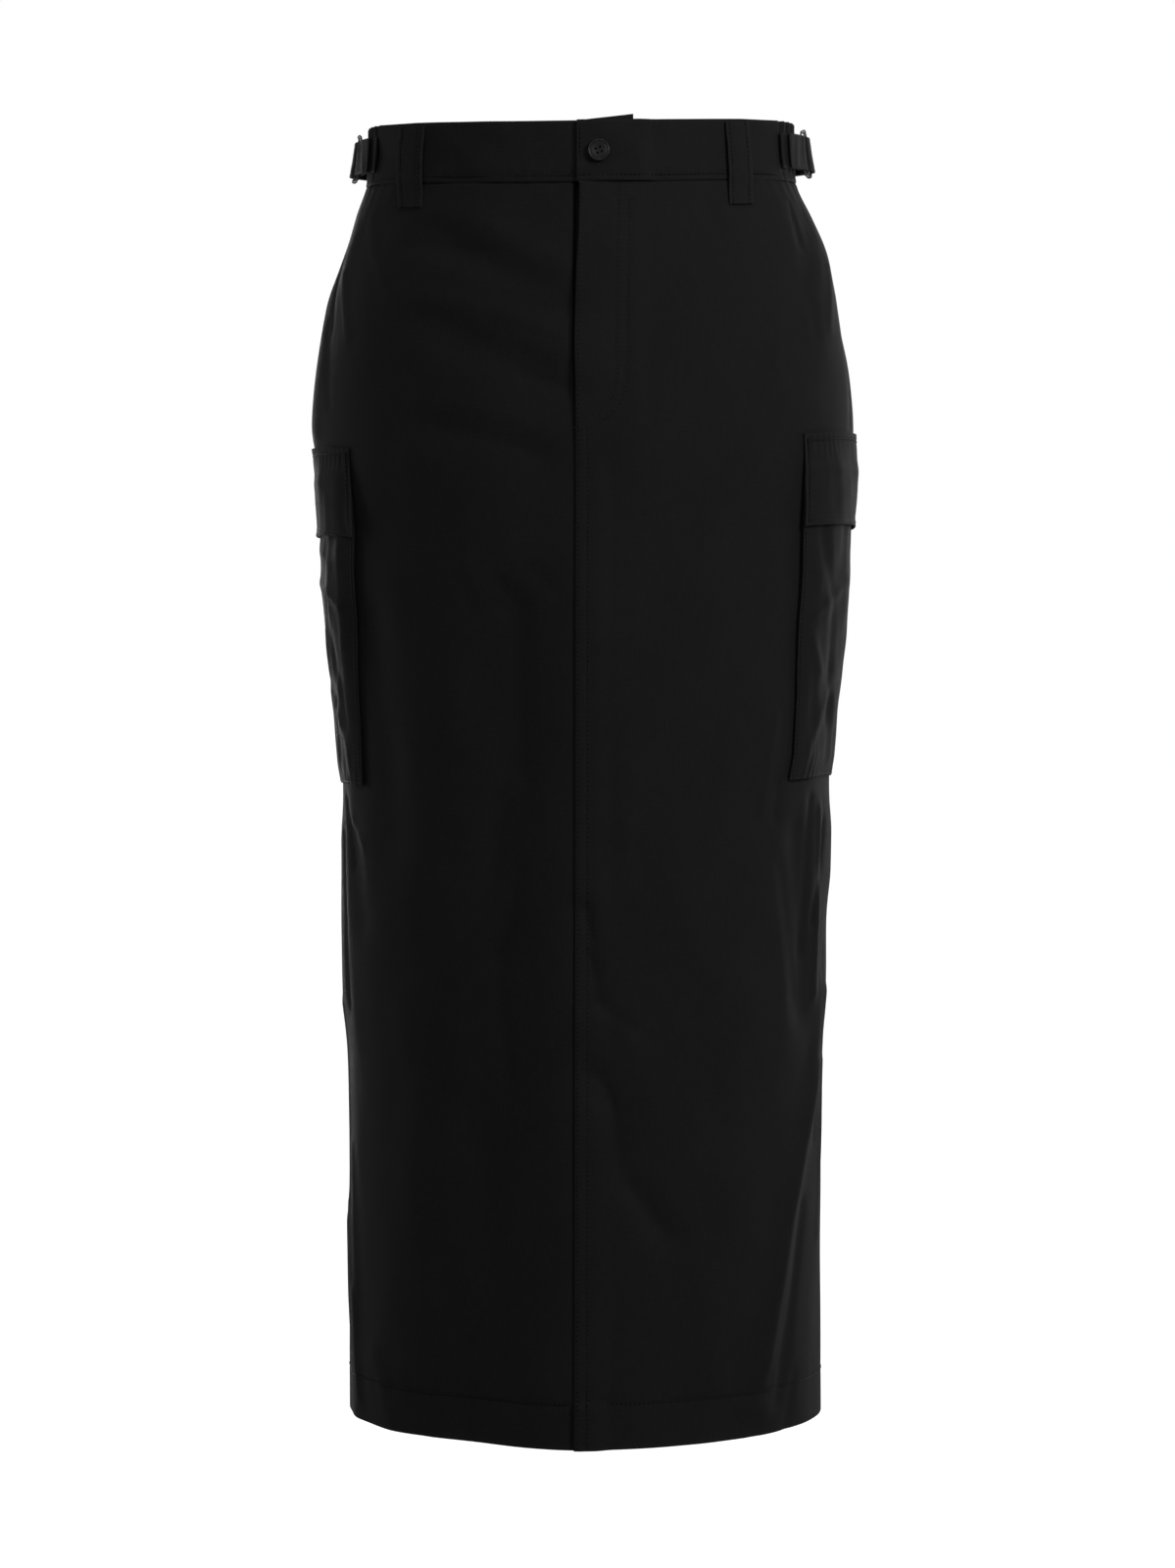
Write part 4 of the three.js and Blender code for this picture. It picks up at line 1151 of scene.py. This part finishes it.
# The waist button.
# A black resin button of four holes, 15 mm wide, turned with a raised rim and a dished middle. It
# stands just clear of the lapped end of the waistband.
BUTTON = {"x": 14.5, "z": -15, "clear": 0.45, "hole": 0.75, "hole_centre": 2.2, "turn": 68}
BUTTON_PROFILE = [
    (0, 0), (5.4, 0), (6.6, 0.35), (7.2, 1.0), (7.45, 1.7), (7.35, 2.3), (7.05, 2.7), (6.7, 2.8),
    (6.35, 2.65), (6.1, 2.25), (5.85, 1.95), (5.5, 1.95), (5.2, 2.1), (4.8, 2.1), (3.6, 1.8),
    (1.6, 1.65), (0, 1.65),
]
bpy.ops.mesh.primitive_plane_add(size=1)
button = bpy.context.object
button.name = "waist_button_turned"
bpy.ops.object.mode_set(mode="EDIT")
bpy.ops.mesh.select_all(action="SELECT")
bpy.ops.mesh.delete(type="VERT")
bpy.ops.object.mode_set(mode="OBJECT")
button.data.vertices.add(len(BUTTON_PROFILE))
for k, (radius, up) in enumerate(BUTTON_PROFILE):
    button.data.vertices[k].co = (radius * MM, 0, up * MM)
button.data.edges.add(len(BUTTON_PROFILE) - 1)
for k in range(len(BUTTON_PROFILE) - 1):
    button.data.edges[k].vertices = (k, k + 1)
bpy.ops.object.mode_set(mode="EDIT")
bpy.ops.mesh.select_all(action="SELECT")
bpy.ops.mesh.spin(steps=56, angle=2 * math.pi, center=(0, 0, 0), axis=(0, 0, 1))
bpy.ops.mesh.select_all(action="SELECT")
bpy.ops.mesh.remove_doubles(threshold=1e-6)
bpy.ops.mesh.normals_make_consistent(inside=False)
bpy.ops.object.mode_set(mode="OBJECT")
for quarter in range(4):
    turn = math.radians(BUTTON["turn"] + 90 * quarter)
    place = BUTTON["hole_centre"] * MM
    bpy.ops.mesh.primitive_cylinder_add(
        vertices=20, radius=BUTTON["hole"] * MM, depth=8 * MM,
        location=(math.cos(turn) * place, math.sin(turn) * place, 0),
    )
    drill = bpy.context.object
    bpy.context.view_layer.objects.active = button
    cut = button.modifiers.new("hole", "BOOLEAN")
    cut.operation = "DIFFERENCE"
    cut.object = drill
    cut.solver = "EXACT"
    bpy.ops.object.modifier_apply(modifier="hole")
    bpy.data.objects.remove(drill)

button_angle = float(angle_across(BUTTON["x"], float(BUTTON["z"])))
foot = on_body(button_angle, float(BUTTON["z"]), BAND_PROUD + BAND_LAP + BUTTON["clear"], plain=True)
away = on_body(button_angle, float(BUTTON["z"]), 50.0, plain=True) - foot
away /= np.linalg.norm(away)
sideways = np.array([-away[1], away[0], 0.0])


def at_button(points):
    """Places drawn on the button, +Z out of its face, moved to where it is sewn on."""
    return foot + points[:, :1] * sideways + points[:, 1:2] * np.array([0, 0, 1.0]) + points[:, 2:] * away


put_in_place(button, at_button)
outward_faces(button)
shade(button, 40)

RESIN_DARK = (0.006, 0.006, 0.006, 1)
RESIN_PALE = (0.016, 0.016, 0.017, 1)
resin = Finish(bpy.data.materials.new("black_resin"))
place = resin.add("ShaderNodeTexCoord", {}, {}, 3)
scratches = resin.noise(place, 2600.0, 2.0)
resin.surface(
    Base_Color=resin.between(resin.noise(place, 240.0, 4.0), RESIN_DARK, RESIN_PALE),
    Roughness=scratches * 0.12 + 0.3, Normal=resin.bump(0.15, 0.00004, scratches), Specular_IOR_Level=0.36,
)
button.data.materials.clear()
button.data.materials.append(resin.owner)
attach(button, "root")
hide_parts("waist_button")

# The sewing.
# Black polyester thread, sewn about three stitches to the centimetre through every seam that shows:
# each stitch is a short spindle that dips into the cloth at both ends, whose ends are painted near-black
# as the shade of the needle holes.
THREAD = 0.27
STITCH_PITCH = 3.1
STITCH_LENGTH = 2.9
THREAD_DARK = (0.009, 0.009, 0.009, 1)
THREAD_PALE = (0.022, 0.022, 0.0224, 1)
# Near-black painted shade of the needle holes, laid on each stitch's sunk ends
NEEDLE_HOLE_SHADE = (0.0008, 0.0008, 0.0008, 1)

# A stitch's rings of corners: place along it, thickness, rise, and whether it is sunk in the needle's hole
# and so takes its painted shade
STITCH_RINGS = [
    (-0.53, 1.7, -0.16, 1), (-0.32, 1.8, -0.14, 1), (-0.25, 1, 0.04, 0), (0, 1, 0.1, 0),
    (0.25, 1, 0.04, 0), (0.32, 1.8, -0.14, 1), (0.53, 1.7, -0.16, 1),
]
STITCH_SIDES = 5

thread = Finish(bpy.data.materials.new("black_thread"))
plies = thread.noise(thread.add("ShaderNodeTexCoord", {}, {}, 3), 3500.0, 1.0)
# Each stitch's sunk ends take the needle holes' painted shade
sunk = thread.add("ShaderNodeAttribute", {"attribute_name": "sunk"}, {}, 2)
thread.surface(
    Base_Color=thread.between(sunk, thread.between(plies, THREAD_DARK, THREAD_PALE), NEEDLE_HOLE_SHADE),
    Roughness=plies * 0.2 + 0.5, Normal=thread.bump(0.5, 0.00006, plies), Specular_IOR_Level=0.12,
)


def walk(line, pitch):
    """Middles and directions of the stitches along a line of places, a pitch apart."""
    steps = np.linalg.norm(np.diff(line, axis=0), axis=1)
    travel = np.concatenate([[0], np.cumsum(steps)])
    middles = np.arange(pitch / 2, travel[-1], pitch)
    ahead = np.stack([np.interp(middles + 0.4, travel, line[:, k]) for k in range(3)], 1)
    behind = np.stack([np.interp(middles - 0.4, travel, line[:, k]) for k in range(3)], 1)
    direction = ahead - behind
    return (ahead + behind) / 2, direction / np.linalg.norm(direction, axis=1, keepdims=True)


def thread_piece(name, lines):
    """All of a piece's stitches along its lines, as one mesh."""
    found = [walk(line, STITCH_PITCH) for line in lines]
    middles = np.concatenate([m for m, _ in found])
    along = np.concatenate([d for _, d in found])
    outwards = middles * np.array([1, 1, 0])
    outwards /= np.linalg.norm(outwards, axis=1, keepdims=True)
    sideways = np.cross(along, outwards)
    sideways /= np.linalg.norm(sideways, axis=1, keepdims=True)
    up = np.cross(sideways, along)
    points = []
    for place, fat, dip, _ in STITCH_RINGS:
        for k in range(STITCH_SIDES):
            turn = 2 * np.pi * k / STITCH_SIDES
            points.append(
                middles + along * place * STITCH_LENGTH + up * dip
                + (sideways * math.cos(turn) + up * math.sin(turn)) * THREAD * fat
            )
    points = np.stack(points, 1).reshape(-1, 3)
    corners = len(STITCH_RINGS) * STITCH_SIDES
    faces = [tuple(range(STITCH_SIDES))[::-1], tuple(range(corners - STITCH_SIDES, corners))]
    for first in range(0, corners - STITCH_SIDES, STITCH_SIDES):
        for k in range(STITCH_SIDES):
            a, b = first + k, first + (k + 1) % STITCH_SIDES
            faces.append((a, b, b + STITCH_SIDES, a + STITCH_SIDES))
    all_faces = [tuple(s * corners + v for v in face) for s in range(len(middles)) for face in faces]
    mesh = bpy.data.meshes.new(name)
    mesh.from_pydata((points * MM).tolist(), [], all_faces)
    # Marks the rings that take the needle holes' painted shade
    sunk = np.tile(np.repeat([float(ring[3]) for ring in STITCH_RINGS], STITCH_SIDES), len(middles))
    mesh.attributes.new("sunk", "FLOAT", "POINT").data.foreach_set("value", sunk)
    mesh.polygons.foreach_set("use_smooth", np.ones(len(all_faces), bool))
    mesh.materials.append(thread.owner)
    piece = bpy.data.objects.new(name, mesh)
    bpy.context.scene.collection.objects.link(piece)
    outward_faces(piece)
    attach(piece, "root")


# The fly and the centre seam: two rows down the seam, one at the fly's free edge, two round the fly
drops = np.linspace(FLY_END_DROP + 3, HEM_DROP - 2, 500)
seam_lines = []
for row in SEAM_ROWS:
    x = np.full(len(drops), row)
    seam_lines.append(on_body(angle_across(x, -drops), -drops, lap_rise(x, drops) - 0.2))
drops = np.linspace(SEAM_DROP + 17, FLY_END_DROP + 1, 160)
x = np.full(len(drops), 2.0)
seam_lines.append(on_body(angle_across(x, -drops), -drops, lap_rise(x, drops) - 0.1))
for row in FLY_ROWS:
    x, drops = fly_curve(row, 80)
    seam_lines.append(on_body(angle_across(x, -drops), -drops, lap_rise(x, drops) - 0.25))
thread_piece("fly_and_seam_stitching", seam_lines)

# The waistband: one row above its seam, which stops short of the adjusters, and one at its lapped end
PAST_ADJUSTER = 44.0
band_lines = []
for side, lap in ((1, BAND_LAP), (-1, 0)):
    around = np.linspace(angle_across(2.0 * side, 0.0), angle_from_side(side, PAST_ADJUSTER, 0.0), 200)
    x = np.sin(around) * width_at(0.0)
    out = BAND_PROUD + lap * (1 - smooth((x - FLY_LAP - 2) / LAP_RAMP)) - 0.15
    band_lines.append(on_body(around, seam_height(around) + BAND_STITCH, out))
left_end, right_end = (angle_from_side(side, -PAST_ADJUSTER, 0.0) for side in (1, -1))
around = np.linspace(left_end, right_end + 2 * np.pi, 400)
band_lines.append(on_body(around, seam_height(around) + BAND_STITCH, BAND_PROUD - 0.15))
up = np.linspace(4, BAND_HEIGHT - 3, 40)
lapped_end = angle_across(2.2, -15.0)
band_lines.append(on_body(lapped_end, seam_height(lapped_end) + up, BAND_PROUD + BAND_LAP - 0.05))
thread_piece("waistband_stitching", band_lines)

# The hem: one row all round
around = np.linspace(angle_across(16.0, -880.0), 2 * np.pi + angle_across(-3.0, -880.0), 1400)
thread_piece("hem_stitching", [on_body(around, -TURNUP_DROP - 1.0, 0.0)])

# The pockets: one row round each face, and one round each flap with another below its top
FACE_STITCH = 1.8
pocket_lines = []
for pocket in POCKETS:
    top, low = pocket["seam"], pocket["seam"] + pocket["flap"]
    d = np.linspace(low + 2, pocket["bottom"] - FACE_STITCH, 120)
    f = np.linspace(pocket["forward"] - FACE_STITCH, -pocket["back"] + FACE_STITCH, 160)
    for row_f, row_d in ((np.full(120, f[0]), d), (f, np.full(160, d[-1])), (np.full(120, f[-1]), d)):
        base = FACE_LIFT + FACE_CLOTH - 0.05 + bulge(pocket, row_f, row_d)
        pocket_lines.append(on_pocket(pocket, row_f, row_d, base))
    inset = FLAP_OVERHANG - FLAP_STITCH
    d = np.linspace(top + 4, low - FLAP_STITCH, 60)
    f = np.linspace(pocket["forward"] + inset, -pocket["back"] - inset, 160)
    rows = (
        (np.full(60, f[0]), d), (np.full(60, f[-1]), d),
        (f, np.full(160, d[-1])), (f, np.full(160, top + 5.0)),
    )
    for row_f, row_d in rows:
        share = (row_d - top) / pocket["flap"]
        out = flap_lift(pocket, row_f, share) + FLAP_CLOTH + 0.5 * smooth((row_d - top - 30) / 20) - 0.1
        pocket_lines.append(on_pocket(pocket, row_f, row_d, out))
thread_piece("pocket_stitching", pocket_lines)

# The belt loops: two rows down each
loop_lines = []
for loop in LOOPS:
    route = route_curve(LOOP_ROUTE, 60)
    for across in (-1, 1):
        x = np.full(60, across * (LOOP_WIDTH / 2 - 2.6))
        loop_lines.append(on_loop(loop, route[:, 0], x, route[:, 1] + LOOP_CLOTH - 0.2))
thread_piece("belt_loop_stitching", loop_lines)

low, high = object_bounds()
